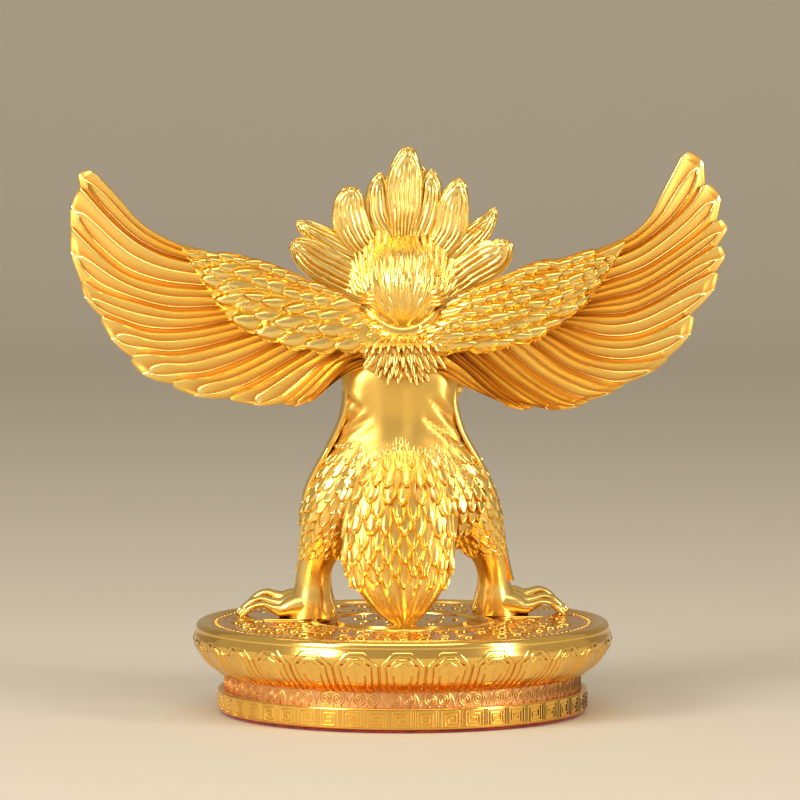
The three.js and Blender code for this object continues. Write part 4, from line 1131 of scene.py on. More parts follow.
@dataclass(frozen=True)
class Crest:
    """Flame lobes that stand up behind the head, each with flutes that meet at its tip."""

    lobes: tuple[Lobe, ...] = (
        Lobe(((6.4, 69.9, 3.0), (11.1, 71.8, 3.5), (15.7, 74.4, 3.5), (19.7, 77.2, 3.1),
              (22.2, 79.1, 2.0), (23.2, 79.9, 1.0)), (-0.6, 1.8)),
        Lobe(((5.8, 75.3, 1.7), (10.6, 77.2, 2.3), (14.8, 79.3, 2.5), (18.2, 81.4, 2.1),
              (20.9, 83.1, 1.5), (22.3, 84.2, 0.4)), (-1.2, 0.4)),
        Lobe(((9.8, 79.5, 1.1), (11.7, 82.3, 1.3), (13.0, 84.8, 1.0), (13.4, 86.2, 0.7),
              (13.5, 86.9, 0.4), (13.6, 87.5, 0.2)), (-1.6, -0.8), 3),
        Lobe(((3.7, 75.9, 1.9), (7.7, 78.9, 2.5), (10.4, 82.7, 3.1), (11.3, 86.5, 3.0),
              (10.9, 89.6, 2.5), (10.6, 91.5, 1.2)), (-0.4, 1.9)),
        Lobe(((1.0, 78.5, 1.7), (3.3, 82.3, 2.3), (5.0, 85.8, 2.6), (5.2, 89.6, 2.2),
              (4.8, 92.6, 1.6), (4.5, 94.4, 0.5)), (-1.2, 0.3), 5),
        Lobe(((-0.3, 78.0, 1.9), (-0.1, 82.7, 2.4), (-0.3, 87.3, 3.1), (-0.3, 91.9, 3.3),
              (-0.8, 96.1, 2.8), (-1.2, 99.9, 1.3)), (0.2, 2.4), 8),
        Lobe(((-4.9, 85.8, 0.8), (-4.5, 88.6, 0.9), (-4.4, 91.1, 0.9), (-4.3, 93.2, 0.8),
              (-4.2, 94.9, 0.6), (-4.1, 95.9, 0.2)), (-1.6, -0.8), 3),
        Lobe(((-2.0, 78.0, 1.5), (-3.7, 81.6, 2.0), (-5.3, 85.8, 2.3), (-6.0, 89.6, 2.1),
              (-6.0, 92.6, 1.8), (-6.0, 95.1, 0.6)), (-0.9, 0.6), 5),
        Lobe(((-4.7, 75.9, 1.9), (-7.9, 78.9, 2.5), (-10.0, 82.7, 2.9), (-10.6, 86.5, 2.9),
              (-11.2, 89.8, 2.5), (-12.2, 93.2, 1.1)), (-0.4, 1.9)),
        Lobe(((-5.3, 73.2, 1.6), (-9.5, 75.9, 2.3), (-13.3, 79.1, 2.7), (-16.5, 82.3, 2.2),
              (-18.4, 84.8, 1.5), (-19.5, 87.0, 0.4)), (-1.1, 0.5)),
        Lobe(((-5.8, 69.5, 2.8), (-10.0, 71.1, 3.3), (-14.6, 74.0, 3.3), (-18.4, 76.4, 3.6),
              (-20.7, 78.3, 2.8), (-21.7, 80.4, 1.3)), (-0.6, 1.9)),
    )
    heart: Spot = (0, 71, 0.8)  # where all roots point: x, z and half width
    inward: float = 0.5  # how far the roots are carried on towards it
    broaden: float = 0.2
    flute_depth: float = 0.7
    dome: float = 1.5
    root_depth: float = 2.2  # how far below the hair the roots lie
    arch_from: float = 0.7  # share of a lobe from which its flutes close over its tip
    round_from: float = 0.94  # share of a lobe from which its outline rounds off
    broad: float = 2.4  # half width of a lobe that rises to the full dome

    def cast(self, figure: Figure) -> None:
        """Pours the lobes.

        Across a lobe, u runs from -1 to 1. Its back rises by dome * sqrt(1 - u^2) over its
        middle sheet, which starts on the skull's back. Flutes of |sin(pi/2 * flutes * r)|^0.6
        cut it, where r is |u| down the lobe and sqrt(u^2 + s^2) over its last stretch, so that
        they close over the tip in nested arches. Its front is a plain low dome with three.
        """
        t = np.concatenate([np.linspace(0, 0.8, 17), np.linspace(0.84, 1, 7)])
        for lobe in self.lobes:
            rows = np.array(lobe.rows)
            rows = np.vstack([rows[0] + (np.array(self.heart) - rows[0]) * self.inward, rows])
            x, z, half = np.moveaxis(spline(rows, t), -1, 0)
            half = half * (1 + self.broaden * np.sin(math.pi * t))
            ahead = unit(course(rows, t, 0.02)[:, :2])
            across = np.stack([ahead[:, 1], -ahead[:, 0]], 1)
            last = np.clip((t - self.round_from) / (1 - self.round_from), 0, 1)
            half = half * (0.2 + 0.8 * np.sqrt(1 - last**2))
            back = np.linspace(-1, 1, lobe.flutes * 4 + 1)
            front = np.linspace(0.75, -0.75, 7)
            u = np.concatenate([back, front])
            face = np.concatenate([np.ones(len(back)), -np.ones(len(front))])
            phase = figure.chance.uniform(0, 6)
            sway = 0.05 * np.sin(6 * t + phase) + 0.03 * np.sin(15 * t + 2 * phase)
            arch = np.clip((t - self.arch_from) / (1 - self.arch_from), 0, 1) ** 2
            nested = np.sqrt((u + sway[:, None]) ** 2 + 0.9 * arch[:, None])
            shift = math.pi / 4 * (lobe.flutes % 2)
            flute = np.abs(np.sin(math.pi * lobe.flutes / 2 * nested + shift)) ** 0.6
            flute = np.where(face < 0, np.abs(np.sin(math.pi * 1.5 * (u + 1))) ** 0.6, flute)
            swell = np.sqrt(np.clip(1 - u**2, 0, 1))
            tall = (self.dome * np.clip(half / self.broad, 0.3, 1) * np.clip(0.35 + 2.2 * t, 0, 1))[:, None]
            cut = face * self.flute_depth * (1 - flute) * np.clip(tall, 0, 1) * (0.2 + 0.8 * swell)
            rise = face * swell * tall - cut
            sheet = lobe.depth[0] + (lobe.depth[1] - lobe.depth[0]) * t**1.5
            skull = Head().level_behind(x, z) - 0.3 - self.root_depth * np.clip(1 - 4 * t, 0, 1)
            sheet = np.maximum(sheet, skull)
            spot_x = x[:, None] + across[:, :1] * u * half[:, None]
            spot_z = z[:, None] + across[:, 1:] * u * half[:, None]
            # Painted light on the lobes: painted shade in the flutes and towards the roots, lighter on the
            # ridges between.
            tone = (0.12 + 0.8 * flute) * np.clip(0.5 + 0.7 * t, 0, 1)[:, None]
            tone = np.where(np.abs(u) > 0.96, 0.5, tone)
            figure.add(level(spot_x, sheet[:, None] + rise, spot_z), tone)


@dataclass(frozen=True)
class Nape:
    """Hair on the nape: short tufts that spread from the neck over the wings' roots."""

    swell: Stack = Stack((
        (0, 1.0, 62.6, 5.6, 3.0), (0, 3.4, 60.9, 8.6, 3.8), (0, 4.8, 58.8, 9.6, 4.0),
        (0, 5.4, 56.0, 8.8, 3.2), (0, 5.0, 52.8, 7.4, 2.4), (0, 3.8, 50.6, 5.0, 1.2),
    ))
    # Rows of tufts: share of the swelling, height, half of the row's breadth, tufts
    rows: Rows = (
        (0.36, 58.8, 7.0, 10), (0.5, 56.8, 7.4, 11), (0.6, 55.2, 6.6, 10), (0.7, 53.8, 5.0, 8),
    )
    # Rows of tufts on its upper slope: share, length, breadth, lift
    slope: Rows = ((0.17, 3.0, 1.5, 0.6), (0.26, 3.2, 1.6, 0.7), (0.33, 3.3, 1.6, 0.75))
    slope_arc: tuple[float, float] = (math.radians(38), math.radians(142))
    spread: float = 0.095  # turn outwards, in radians, for each hundredth from the middle
    tuft: Spot = (3.3, 1.6, 0.75)
    # The smooth roll round the skull's foot: x, y, z and radius, from its middle to one side
    roll: Rows = (
        (0, 5.5, 61.0, 1.8), (2.6, 5.3, 61.5, 1.8), (5.2, 4.7, 63.1, 1.7), (7.3, 3.6, 65.7, 1.3),
        (8.0, 2.4, 67.4, 0.5),
    )

    def cast(self, figure: Figure) -> None:
        """Pours the swelling and its tufts, which lean outwards by their distance."""
        figure.add(self.swell.solid(18, 30), 0.6)
        left = [(x, y, z, radius, radius) for x, y, z, radius in self.roll]
        right = [(-x, *rest) for x, *rest in left[:0:-1]]
        figure.rod(right + left, 60, 18, 0.6)
        clothe(figure, self.swell, self.slope, arc=self.slope_arc, form=HAIR_TUFT)
        for i, (share, z, half, count) in enumerate(self.rows):
            x = (np.arange(int(count)) + (0.35 if i % 2 else 0.6)) / count * 2 * half - half
            x = x + figure.chance.normal(0, 0.15, x.shape)
            shape = spline(self.swell.rows, np.full(x.shape, share))
            y = shape[:, 1] + shape[:, 4] * np.sqrt(np.clip(1 - (x / shape[:, 3]) ** 2, 0.05, 1))
            lean = self.spread * x + figure.chance.normal(0, 0.1, x.shape)
            way = unit(level(np.sin(lean), 0 * x, -np.cos(lean)))
            normal = unit(level(0.06 * x, 1 + 0 * x, 0.05 + 0 * x))
            way = unit(way - normal * (way * normal).sum(-1, keepdims=True))
            size = np.array(self.tuft) * figure.chance.normal(1, 0.12, (len(x), 3))
            figure.add(*NAPE_TUFT.shells(level(x, y - 0.15, z), way, normal, size))


# The front: arms, sashes and necklace


@dataclass(frozen=True)
class Front:
    """Arms bent with the palms together, a sash down each side, and a beaded necklace."""

    sashes: tuple[Rows, Rows] = (
        ((11.7, 0.8, 49.4, 0.8, 1.4), (11.7, 0.8, 46.0, 1.1, 1.4), (12.1, 0.6, 43.9, 1.1, 1.5),
         (13.2, 0.4, 41.2, 0.9, 1.6), (14.6, 0.2, 38.3, 0.9, 1.8), (16.4, -0.4, 34.9, 0.85, 2.2),
         (18.5, -1.6, 31.1, 0.8, 2.2), (20.2, -2.6, 26.9, 0.8, 2.2), (20.8, -3.4, 21.6, 0.75, 2.0),
         (21.1, -4.4, 16.4, 0.65, 1.6), (21.6, -5.0, 11.6, 0.7, 1.1), (22.2, -5.2, 10.2, 0.55, 0.6)),
        ((-11.2, 0.6, 49.4, 0.6, 1.4), (-11.0, 0.6, 46.0, 0.75, 1.4), (-11.5, 0.4, 43.1, 0.8, 1.5),
         (-12.5, 0.2, 39.9, 0.85, 1.6), (-14.0, -0.2, 37.0, 0.9, 1.8), (-16.0, -1.2, 33.6, 0.85, 2.2),
         (-17.9, -3.0, 29.6, 0.8, 2.2), (-19.4, -5.2, 25.8, 0.8, 2.2), (-20.3, -7.2, 21.6, 0.75, 2.0),
         (-21.2, -8.8, 16.4, 0.65, 1.6), (-22.2, -9.8, 11.1, 0.6, 1.3), (-23.2, -10.6, 7.4, 0.5, 0.9)),
    )

    # Arm, bracelet and hand: x on one side, y, z, half width and half height
    arm: Rows = (
        (8.6, -0.6, 54.0, 3.0, 3.0), (9.5, -2.8, 50.4, 2.9, 2.7), (9.3, -5.6, 46.6, 2.4, 2.4),
        (8.0, -8.0, 44.6, 2.4, 2.3), (5.2, -10.6, 46.6, 2.1, 2.0), (2.6, -12.2, 49.6, 1.5, 1.5),
    )
    cuff: Rows = (
        (3.5, -11.6, 48.5, 1.95, 1.95), (3.1, -11.9, 49.0, 2.15, 2.15), (2.7, -12.2, 49.5, 1.9, 1.9),
    )
    palm: Rows = (
        (2.1, -12.5, 50.2, 1.2, 1.5), (1.1, -13.0, 52.0, 0.85, 1.9), (0.75, -13.3, 54.2, 0.75, 1.9),
        (0.6, -13.5, 56.4, 0.62, 1.6), (0.5, -13.7, 58.6, 0.4, 0.8),
    )
    fingers: tuple[float, ...] = (-1.15, -0.4, 0.4, 1.15)  # y of each, from the hand's middle
    beads: int = 15
    bead: Spot = (0.62, 0.62, 0.62)

    def cast(self, figure: Figure) -> None:
        """Pours both arms, both sashes, the necklace and the armpit knots."""
        for side in (-1, 1):
            figure.rod(self.arm, 40, 22, 0.62, side)
            figure.rod(self.cuff, 8, 20, 0.9, side)
            figure.rod(self.palm, 22, 18, 0.68, side)
            for finger in self.fingers:
                lane = []
                for s in (0, 0.35, 0.7, 1):
                    near, thick = 1 - 0.35 * s, 0.42 * (1 - 0.5 * s)
                    lane.append((0.9 * near, -13.2 - 0.4 * s + finger * near, 53.4 + 5.2 * s, thick, thick))
                figure.rod(lane, 10, 8, 0.8, side)
            figure.add(ball((11.9 * side, 0.6, 49.2), (0.9, 1.3, 1.4), 12, 16), 0.8)
        for rows in self.sashes:
            t, angle = grid(np.linspace(0, 1, 56), 20)
            x, y, z, half, thick = np.moveaxis(spline(rows, t), -1, 0)
            pleat = 0.12 * np.cos(angle * 5 + t * 3)
            x, y = x + (half + pleat) * np.cos(angle), y + (thick * 1.5 + pleat) * np.sin(angle)
            # Painted light on the pleats: lighter where they stand out, painted shade between them.
            figure.add(level(x, y, z), 0.6 + 2 * pleat)
        self.necklace(figure)

    def necklace(self, figure: Figure) -> None:
        """Pours a collar and a row of beads below it."""
        collar = []
        for a in math.pi * (1.06 + 0.88 * np.linspace(0, 1, 9)):
            collar.append((7.6 * math.cos(a), 6.2 * math.sin(a), 59 - 3.6 * math.sin(a - math.pi), 0.9, 0.9))
        figure.rod(collar, 40, 12, 0.8)
        for a in math.pi * (1.1 + 0.8 * np.linspace(0, 1, self.beads)):
            spot = (8.0 * math.cos(a), 6.7 * math.sin(a) - 0.5, 57.6 - 4.2 * math.sin(a - math.pi))
            figure.add(ball(spot, self.bead, 7, 10), 0.95)


# Plinth


GOLDEN_ANGLE = 2.39996


@dataclass(frozen=True)
class Plinth:
    """The round lotus plinth, in millimetres: a fret band, a scroll frieze, a ring of petals
    and a polished top with a raised ring, a sunk groove and clusters of round clouds."""

    base_radius: float
    foot_level: float
    seat: float
    base_height: float = 3.15
    base_edge: float = 0.25
    base_groove: float = 0.1  # how deep the fret's ground lies
    foot_lip: float = 0.32
    frieze_inset: float = 1.1
    frieze_height: float = 2.3
    lotus_outset: float = 0.6
    lotus_flare: float = 4.1
    lotus_height: float = 6.9
    petals: int = 28
    ledge: float = 0.35
    rim_height: float = 1.0
    rim_width: float = 2.0
    ring_radius: float = 13.4
    ring_width: float = 1.0
    ring_height: float = 0.25
    moat_width: float = 2.9
    moat_depth: float = 0.5
    frets: int = 48
    scrolls: int = 32
    beads: int = 132
    soles: Rows = ((18.6, -5.86), (-18.6, -10.04))  # middles of the flats under the feet
    sole_half: tuple[float, float] = (7.4, 5.2)
    sole_gap: float = 0.8  # between the flats under the feet and the clouds
    cloud_rings: tuple[float, ...] = (16.0, 18.9, 21.8, 24.7)
    cloud_pitch: float = 3.1
    cloud_share: float = 0.88  # of the places in the rings, as some stay empty
    cloud_start: float = 14.9  # the outer clouds' innermost radius
    heart_radius: float = 8.6  # the inner clouds' outermost radius
    heart_clouds: int = 20
    tail_tip: float = 7.3  # y of the bare spot under the tail's tip
    tail_gap: float = 2.0

    @classmethod
    def read(cls) -> "Plinth":
        """Takes the base band's radius and levels from the frame."""
        low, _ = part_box("lotus_plinth")
        _, pad_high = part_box("felt_pad")
        figure_low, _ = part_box("garuda_figure")
        pad_inset, seat_gap = 0.5, 0.05  # the pad inside the band, the soles over the top
        return cls(
            base_radius=pad_high.x / MM + pad_inset,
            foot_level=low.z / MM,
            seat=figure_low.z / MM - seat_gap,
        )

    @property
    def base_top(self) -> float:
        """Level of the base band's top."""
        return self.foot_level + self.base_height

    @property
    def frieze_radius(self) -> float:
        """Radius of the scroll frieze's ground."""
        return self.base_radius - self.frieze_inset

    @property
    def frieze_top(self) -> float:
        """Level where the petals start."""
        return self.base_top + self.frieze_height

    @property
    def top_face(self) -> float:
        """Level of the polished top."""
        return self.seat - self.ring_height

    @property
    def rim_radius(self) -> float:
        """Radius of the rim, which carries on from the petals' crowns."""
        return float(self.drum(np.array(self.frieze_top + self.lotus_height)))

    def drum(self, z: Array) -> Array:
        """Radius of the petals' crowns at a level: the foot plus a flare that rounds over."""
        share = (z - self.frieze_top) / self.lotus_height
        flare = spline(((0,), (0.52,), (0.84,), (1,), (0.92,)), share)[..., 0]
        return self.frieze_radius + self.lotus_outset + self.lotus_flare * flare

    def wrap(self, along: Array, z: Array, radius: Array) -> Array:
        """Points in metres from a length along the drum's round at that radius, and a level."""
        return lathe(radius, along / radius, z) * MM

    def turned(self, casting: Casting) -> None:
        """Pours the turned body from one profile.

        It holds radius, level and relief. It starts under the base's middle, runs out to the
        base band, up over the frieze's ground and the petals' ground to the rim, and in over
        two raised lines, the ring and the sunk groove to the middle of the top.
        """
        edge, rim, top, foot = self.base_edge, self.rim_radius, self.top_face, self.foot_level
        base, ground, frieze = self.base_radius, self.base_radius - self.base_groove, self.frieze_radius
        # The tones paint shade on the frieze's ground and a highlight on the rim, the raised lines and the
        # ring.
        profile = [
            (0.02, foot, 0.3), (base - 0.2, foot, 0.4), (base, foot + 0.2, 0.7), (base, foot + 0.3, 0.7),
            (ground, foot + 0.34, 0.5), (ground, self.base_top - edge - 0.02, 0.5),
        ]
        for a in np.linspace(0, math.pi / 2, 7):
            profile.append((base - edge + edge * math.cos(a), self.base_top - edge + edge * math.sin(a), 0.8))
        profile += [
            (frieze, self.base_top + 0.02, 0.1), (frieze, self.frieze_top - 0.05, 0.1),
            (frieze + 0.1, self.frieze_top + 0.2, 0.1),
        ]
        for share in np.linspace(0.04, 0.98, 18):
            z = self.frieze_top + self.lotus_height * share
            sunk = self.ledge * float(np.clip((0.74 - share) / 0.2, 0, 1))
            profile.append((float(self.drum(np.array(z))) - sunk - 0.03, z, 0.35 + 0.5 * (share > 0.6)))
        half, inner = self.rim_width / 2, rim - self.rim_width
        rim_top = self.frieze_top + self.lotus_height + self.rim_height
        for a in np.linspace(0, math.pi, 22):
            radius, z = rim - half + half * math.cos(a), rim_top - self.rim_height * (1 - math.sin(a) ** 0.9)
            profile.append((radius, z if radius > rim - half else max(z, top - 0.03), 0.95))
        profile.append((inner - 0.12, top, 0.4))
        for line in (inner - 0.35, inner - 1.65):
            for out, rise, tone in ((0.16, 0, 0.4), (0.1, 0.09, 0.85), (-0.1, 0.09, 0.85), (-0.16, 0, 0.4)):
                profile.append((line + out, top + rise, tone))
        ring, ring_half, moat = self.ring_radius, self.ring_width / 2, top - self.moat_depth
        profile.append((ring + ring_half + 0.05, top, 0.45))
        for a in np.linspace(0, math.pi, 11):
            profile.append((ring + ring_half * math.cos(a), top + self.ring_height * math.sin(a), 0.9))
        boss = ring - ring_half - self.moat_width
        profile += [
            (ring - ring_half - 0.15, moat + 0.1, 0.4), (ring - ring_half - 0.4, moat, 0.4),
            (boss + 0.4, moat, 0.4), (boss + 0.15, moat + 0.1, 0.4), (boss - 0.1, self.seat - 0.05, 0.5),
            (boss - 0.4, self.seat, 0.5), (0.02, self.seat, 0.5),
        ]
        radius, z, tone = np.array(profile).T[..., None]
        casting.add(lathe(radius, turns(192), z) * MM, tone)

    def petal_rings(self) -> tuple[Array, Array]:
        """Rings of one petal, laid flat: its length along the round, its level and its height.

        The outline has upright sides, two corners cut off and a level tip. Each ring is the
        outline drawn in by a distance, square to its sides, with the height that the carving
        has there: two grooves and, between them, low cushions. The last ring is the middle
        line. Below the foot the petal bends in under its neighbour, the frieze's edge.
        """
        tall = self.lotus_height
        cut, tip, flat_tip = 0.63 * tall, 0.95 * tall, 0.43
        left = [(-1.0, z, 1.0, 0.0) for z in np.linspace(-0.25, cut, 12)]
        for s in np.linspace(0.1, 0.92, 6):
            left.append((-1 + (1 - flat_tip) * s, cut + (tip - cut) * s, 0.75, -0.66))
        top = [(x, tip, 0.0, -1.0) for x in np.linspace(-0.32, 0.32, 5)]
        line = np.array(left + top + [(-x, z, -nx, nz) for x, z, nx, nz in reversed(left)])
        width = self.drum(self.frieze_top + line[:, 1]) * math.pi / self.petals - 0.05
        x, z = line[:, 0] * width, line[:, 1]
        # Distance from the outline, height over the crown and relief of each ring; the relief paints shade in
        # the grooves and a highlight on the cushions
        rows = (
            (0.0, -0.6, 0.0), (0.02, -0.3, 0.05), (0.12, -0.08, 0.5), (0.3, 0.02, 0.85), (0.7, 0.02, 0.8),
            (0.96, -0.04, 0.5), (1.08, -0.14, 0.1), (1.18, 0.0, 0.6), (1.36, 0.09, 0.9), (1.72, 0.08, 0.8),
            (1.96, 0.02, 0.5), (2.08, -0.08, 0.1), (2.18, 0.05, 0.6), (2.36, 0.13, 0.9), (2.7, 0.17, 0.85),
        )
        rings, tone = [], []
        for inset, height, shade in rows:
            nx = x + line[:, 2] * inset
            nx = np.where(nx * x > 0, nx, 0.04 * np.sign(x))
            nz = np.maximum(z + line[:, 3] * inset, -0.25)
            deeper = 1.9 - 0.9 * np.clip(nz / tall, 0, 1) if height < 0 else 1
            rings.append(level(nx, nz, height * deeper - 4 * np.maximum(-nz, 0)))
            tone.append(np.full(len(nx), shade))
        rings.append(rings[-1] * np.array([0.02, 1, 1]))
        return np.array(rings), np.array([*tone, tone[-1]])

    def lotus(self, casting: Casting) -> None:
        """Pours the ring of petals."""
        flat, tone = self.petal_rings()
        z = self.frieze_top + flat[..., 1]
        crown = self.drum(z)
        radius = crown + flat[..., 2]
        angle = turns(self.petals)[:, None, None] + flat[..., 0] / crown
        casting.add(lathe(radius, angle, z) * MM, tone)

    @staticmethod
    def strip(path: Array, breadth: float, height: float) -> Array:
        """Rings of a raised strip along a flat path: at each point its section is set across
        the mitre of the two neighbouring runs, so that corners stay square.

        Returns:
            Rings of length along, level and height, shaped (points, 5, 3).
        """
        run = unit(np.diff(path, axis=0))
        before, after = np.vstack([run[:1], run]), np.vstack([run, run[-1:]])
        mitre = unit(before + after)
        normal = level(-mitre[:, 1], mitre[:, 0])
        grow = 1 / np.clip((mitre * after).sum(-1), 0.5, 1)
        across = np.array([-0.5, -0.36, 0, 0.36, 0.5])
        rise = np.array([-0.6, 0.9, 1.0, 0.9, -0.6]) * height
        spot = path[:, None] + normal[:, None] * (across * breadth * grow[:, None])[..., None]
        return np.concatenate([spot, np.broadcast_to(rise[None, :, None], (*spot.shape[:2], 1))], -1)

    def band(
        self, casting: Casting, flat: Array, middle: float, radius: float, copies: int,
        mirror: bool = False, tone: float = 0.8,
    ) -> None:
        """Sets copies of a flat strip round a band, every other one mirrored if asked.

        Args:
            casting: The plinth's mesh.
            flat: Rings of the strip: length along, level over the band's middle, and height.
            middle: Level of the band's middle.
            radius: Radius of the band's ground.
            copies: How many strips go round.
            mirror: Whether every second one is turned round.
            tone: Relief of the strip's top.
        """
        pitch = 2 * math.pi * radius / copies
        for parity in (0, 1) if mirror else (0,):
            spots = np.arange(parity, copies, 2 if mirror else 1) * pitch
            sign = -1 if parity else 1
            along = spots[:, None, None] + sign * flat[None, ..., 0]
            # Painted shade at the strip's foot, where it meets the ground.
            height = np.where(flat[..., 2] > 0, tone, 0.3 * tone)
            casting.add(self.wrap(along, flat[..., 1] + middle, radius + flat[..., 2]), height)

    def fret(self, casting: Casting) -> None:
        """Pours the key fret: square spirals, mirrored in turn, between upright double lines."""
        middle = (self.foot_level + self.foot_lip + self.base_top - self.base_edge) / 2
        radius = self.base_radius - self.base_groove
        spiral = np.array([
            (-1.42, -1.14), (-1.42, 1.14), (1.3, 1.14), (1.3, -1.14), (-0.92, -1.14),
            (-0.92, 0.6), (0.86, 0.6), (0.86, -0.6), (-0.46, -0.6), (-0.46, 0.06), (0.42, 0.06),
        ])
        self.band(casting, self.strip(spiral, 0.26, 0.12), middle, radius, self.frets, mirror=True)
        for shift in (-0.13, 0.13):
            spot = math.pi * radius / self.frets + shift
            bar = np.array([(spot, -1.2), (spot, 0.0), (spot, 1.2)])
            self.band(casting, self.strip(bar, 0.13, 0.1), middle, radius, self.frets)

    def scroll(self, casting: Casting) -> None:
        """Pours the scroll frieze, low and matt: pairs of spirals r = 0.1 + 0.062 * turn under
        an arch, with a small leaf and a bead between the pairs."""
        radius = self.frieze_radius
        middle = (self.base_top + self.frieze_top) / 2
        turn = np.linspace(0.6, 4.6 * math.pi, 44)
        reach = 0.1 + 0.062 * turn
        lines = []
        for sign in (-1, 1):
            x = sign * (0.98 + reach * np.cos(turn - 1.2))
            lines.append(level(x, reach * np.sin(turn - 1.2) * 0.98))
        edge = math.pi * radius / self.scrolls
        leaf = ((0, -0.95), (0.18, -0.2), (0.5, 0.45), (0.9, 0.9))
        lines += [np.array([(edge + lean * x, z) for x, z in leaf]) for lean in (-1, 1)]
        lines.append(level(np.linspace(-0.9, 0.9, 9), 0.7 + 0.3 * np.cos(np.linspace(-1.4, 1.4, 9))))
        for x in (-1.4, 0.0, 1.3):
            lines.append(np.array([(x, -1.02), (x + 0.12, -0.96), (x + 0.24, -1.02)]))
        for line in lines:
            # Low tone: the scrolls take painted shade, as the frieze's ground does.
            self.band(casting, self.strip(line, 0.2, 0.13), middle, radius, self.scrolls, tone=0.3)

    def domes(self, casting: Casting, spots: Array, half: Array, rise: Array, sides: int) -> None:
        """Pours low round lumps on the top: flat coins with a rounded shoulder.

        Args:
            casting: The plinth's mesh.
            spots: Middles, x and y in millimetres.
            half: Radius of each.
            rise: Height of each over the top face.
            sides: Points round each.
        """
        # Share of the radius, share of the rise and relief, from the foot in to the middle; the relief paints
        # a highlight on the shoulder
        share, height, tone = np.array([
            (1.0, -0.5, 0.4), (1.0, 0.35, 0.45), (0.9, 0.8, 0.8),
            (0.68, 1.0, 1.0), (0.3, 0.9, 0.75), (0.05, 0.86, 0.7),
        ]).T[..., None]
        z = self.top_face + height * rise[:, None, None]
        rings = lathe(share * half[:, None, None], turns(sides), z)
        rings[..., :2] += spots[:, None, None]
        casting.add(rings * MM, tone)

    def top(self, casting: Casting) -> None:
        """Pours the bead ring inside the rim, the clouds round the ring and in the middle, and
        the polished flats under the feet."""
        chance = np.random.default_rng(5)
        inside = self.rim_radius - self.rim_width - 1.0
        spots = lathe(inside, turns(self.beads), 0)[:, :2]
        self.domes(casting, spots, np.full(self.beads, 0.3), np.full(self.beads, 0.1), 8)
        spots, half = [], []
        for i, radius in enumerate(self.cloud_rings):
            count = int(2 * math.pi * radius / self.cloud_pitch)
            nth = np.arange(count) + 0.5 * (i % 2)
            turn = nth * 2 * math.pi / count + chance.normal(0, 0.02, count)
            out = radius + chance.normal(0, 0.25, count)
            spots.append(lathe(out, turn, 0)[:, :2])
            half.append(chance.uniform(0.8, 1.3, count) * (chance.random(count) < self.cloud_share))
        nth = np.arange(self.heart_clouds)
        spots.append(lathe(1.95 * np.sqrt(nth + 0.3), GOLDEN_ANGLE * nth, 0)[:, :2])
        half.append(chance.uniform(0.65, 1.0, self.heart_clouds))
        spot, size = np.concatenate(spots), np.concatenate(half)
        away = np.hypot(spot[:, 0], spot[:, 1])
        keep = (size > 0) & ((away < self.heart_radius) | (away > self.cloud_start))
        keep &= np.hypot(spot[:, 0], spot[:, 1] - self.tail_tip) > self.tail_gap
        for sole in self.soles:
            keep &= (((spot - sole) / (np.array(self.sole_half) + self.sole_gap)) ** 2).sum(1) > 1
        spot, size, away = spot[keep], size[keep], away[keep]
        rise = np.where(away < self.heart_radius, self.ring_height + 0.2, 0.28)
        self.domes(casting, spot, size, rise * chance.uniform(0.8, 1.1, len(spot)), 12)
        ring = self.ring_height
        flat = [(1.03, -0.3), (1.02, 0.12), (1.0, ring - 0.02), (0.95, ring), (0.05, ring)]
        share, height = np.array(flat).T[..., None]
        angle = turns(48)
        for x, y in self.soles:
            across = x + share * self.sole_half[0] * np.cos(angle)
            along = y + share * self.sole_half[1] * np.sin(angle)
            casting.add(level(across, along, self.top_face + height) * MM, 0.6)

    def build(self, material: bpy.types.Material) -> bpy.types.Object:
        """Pours the whole plinth and returns its object."""
        casting = Casting("lotus_plinth_casting")
        self.turned(casting)
        self.lotus(casting)
        self.fret(casting)
        self.scroll(casting)
        self.top(casting)
        log.info("plinth: %d triangles", casting.triangles())
        return casting.pour(material, 40)


@dataclass(frozen=True)
class FeltPad:
    """The felt disc glued under the plinth, in millimetres, with a soft cut edge."""

    radius: float
    thickness: float = 0.5
    edge: float = 0.16

    def build(self, material: bpy.types.Material) -> bpy.types.Object:
        """Makes the disc: its cut edge bulges, and it waves by a few hundredths."""
        inner = self.radius - self.edge
        profile = [(0.05, 0.0), (self.radius * 0.5, 0.0), (inner, 0.0)]
        for a in np.linspace(-math.pi / 2, math.pi / 2, 9):
            profile.append((inner + self.edge * math.cos(a), self.thickness * (0.5 + 0.5 * math.sin(a))))
        profile += [(inner, self.thickness), (0.05, self.thickness)]
        radius, z = np.array(profile).T[..., None]
        angle = turns(180)
        wave = 0.03 * np.sin(angle * 23) + 0.02 * np.sin(angle * 57 + 1)
        reach = radius - 0.05 + wave * (radius / self.radius) ** 8
        casting = Casting("felt_disc")
        casting.add(lathe(reach, angle, z) * MM, 0.5)
        return casting.pour(material, 60)


# Studio


class Side(Enum):
    """Where a softbox stands, seen from the camera behind the figure."""

    LEFT = (0.50, 0.46, 0.30)
    RIGHT = (-0.52, 0.34, 0.16)
    ABOVE = (0.0, 0.30, 0.60)


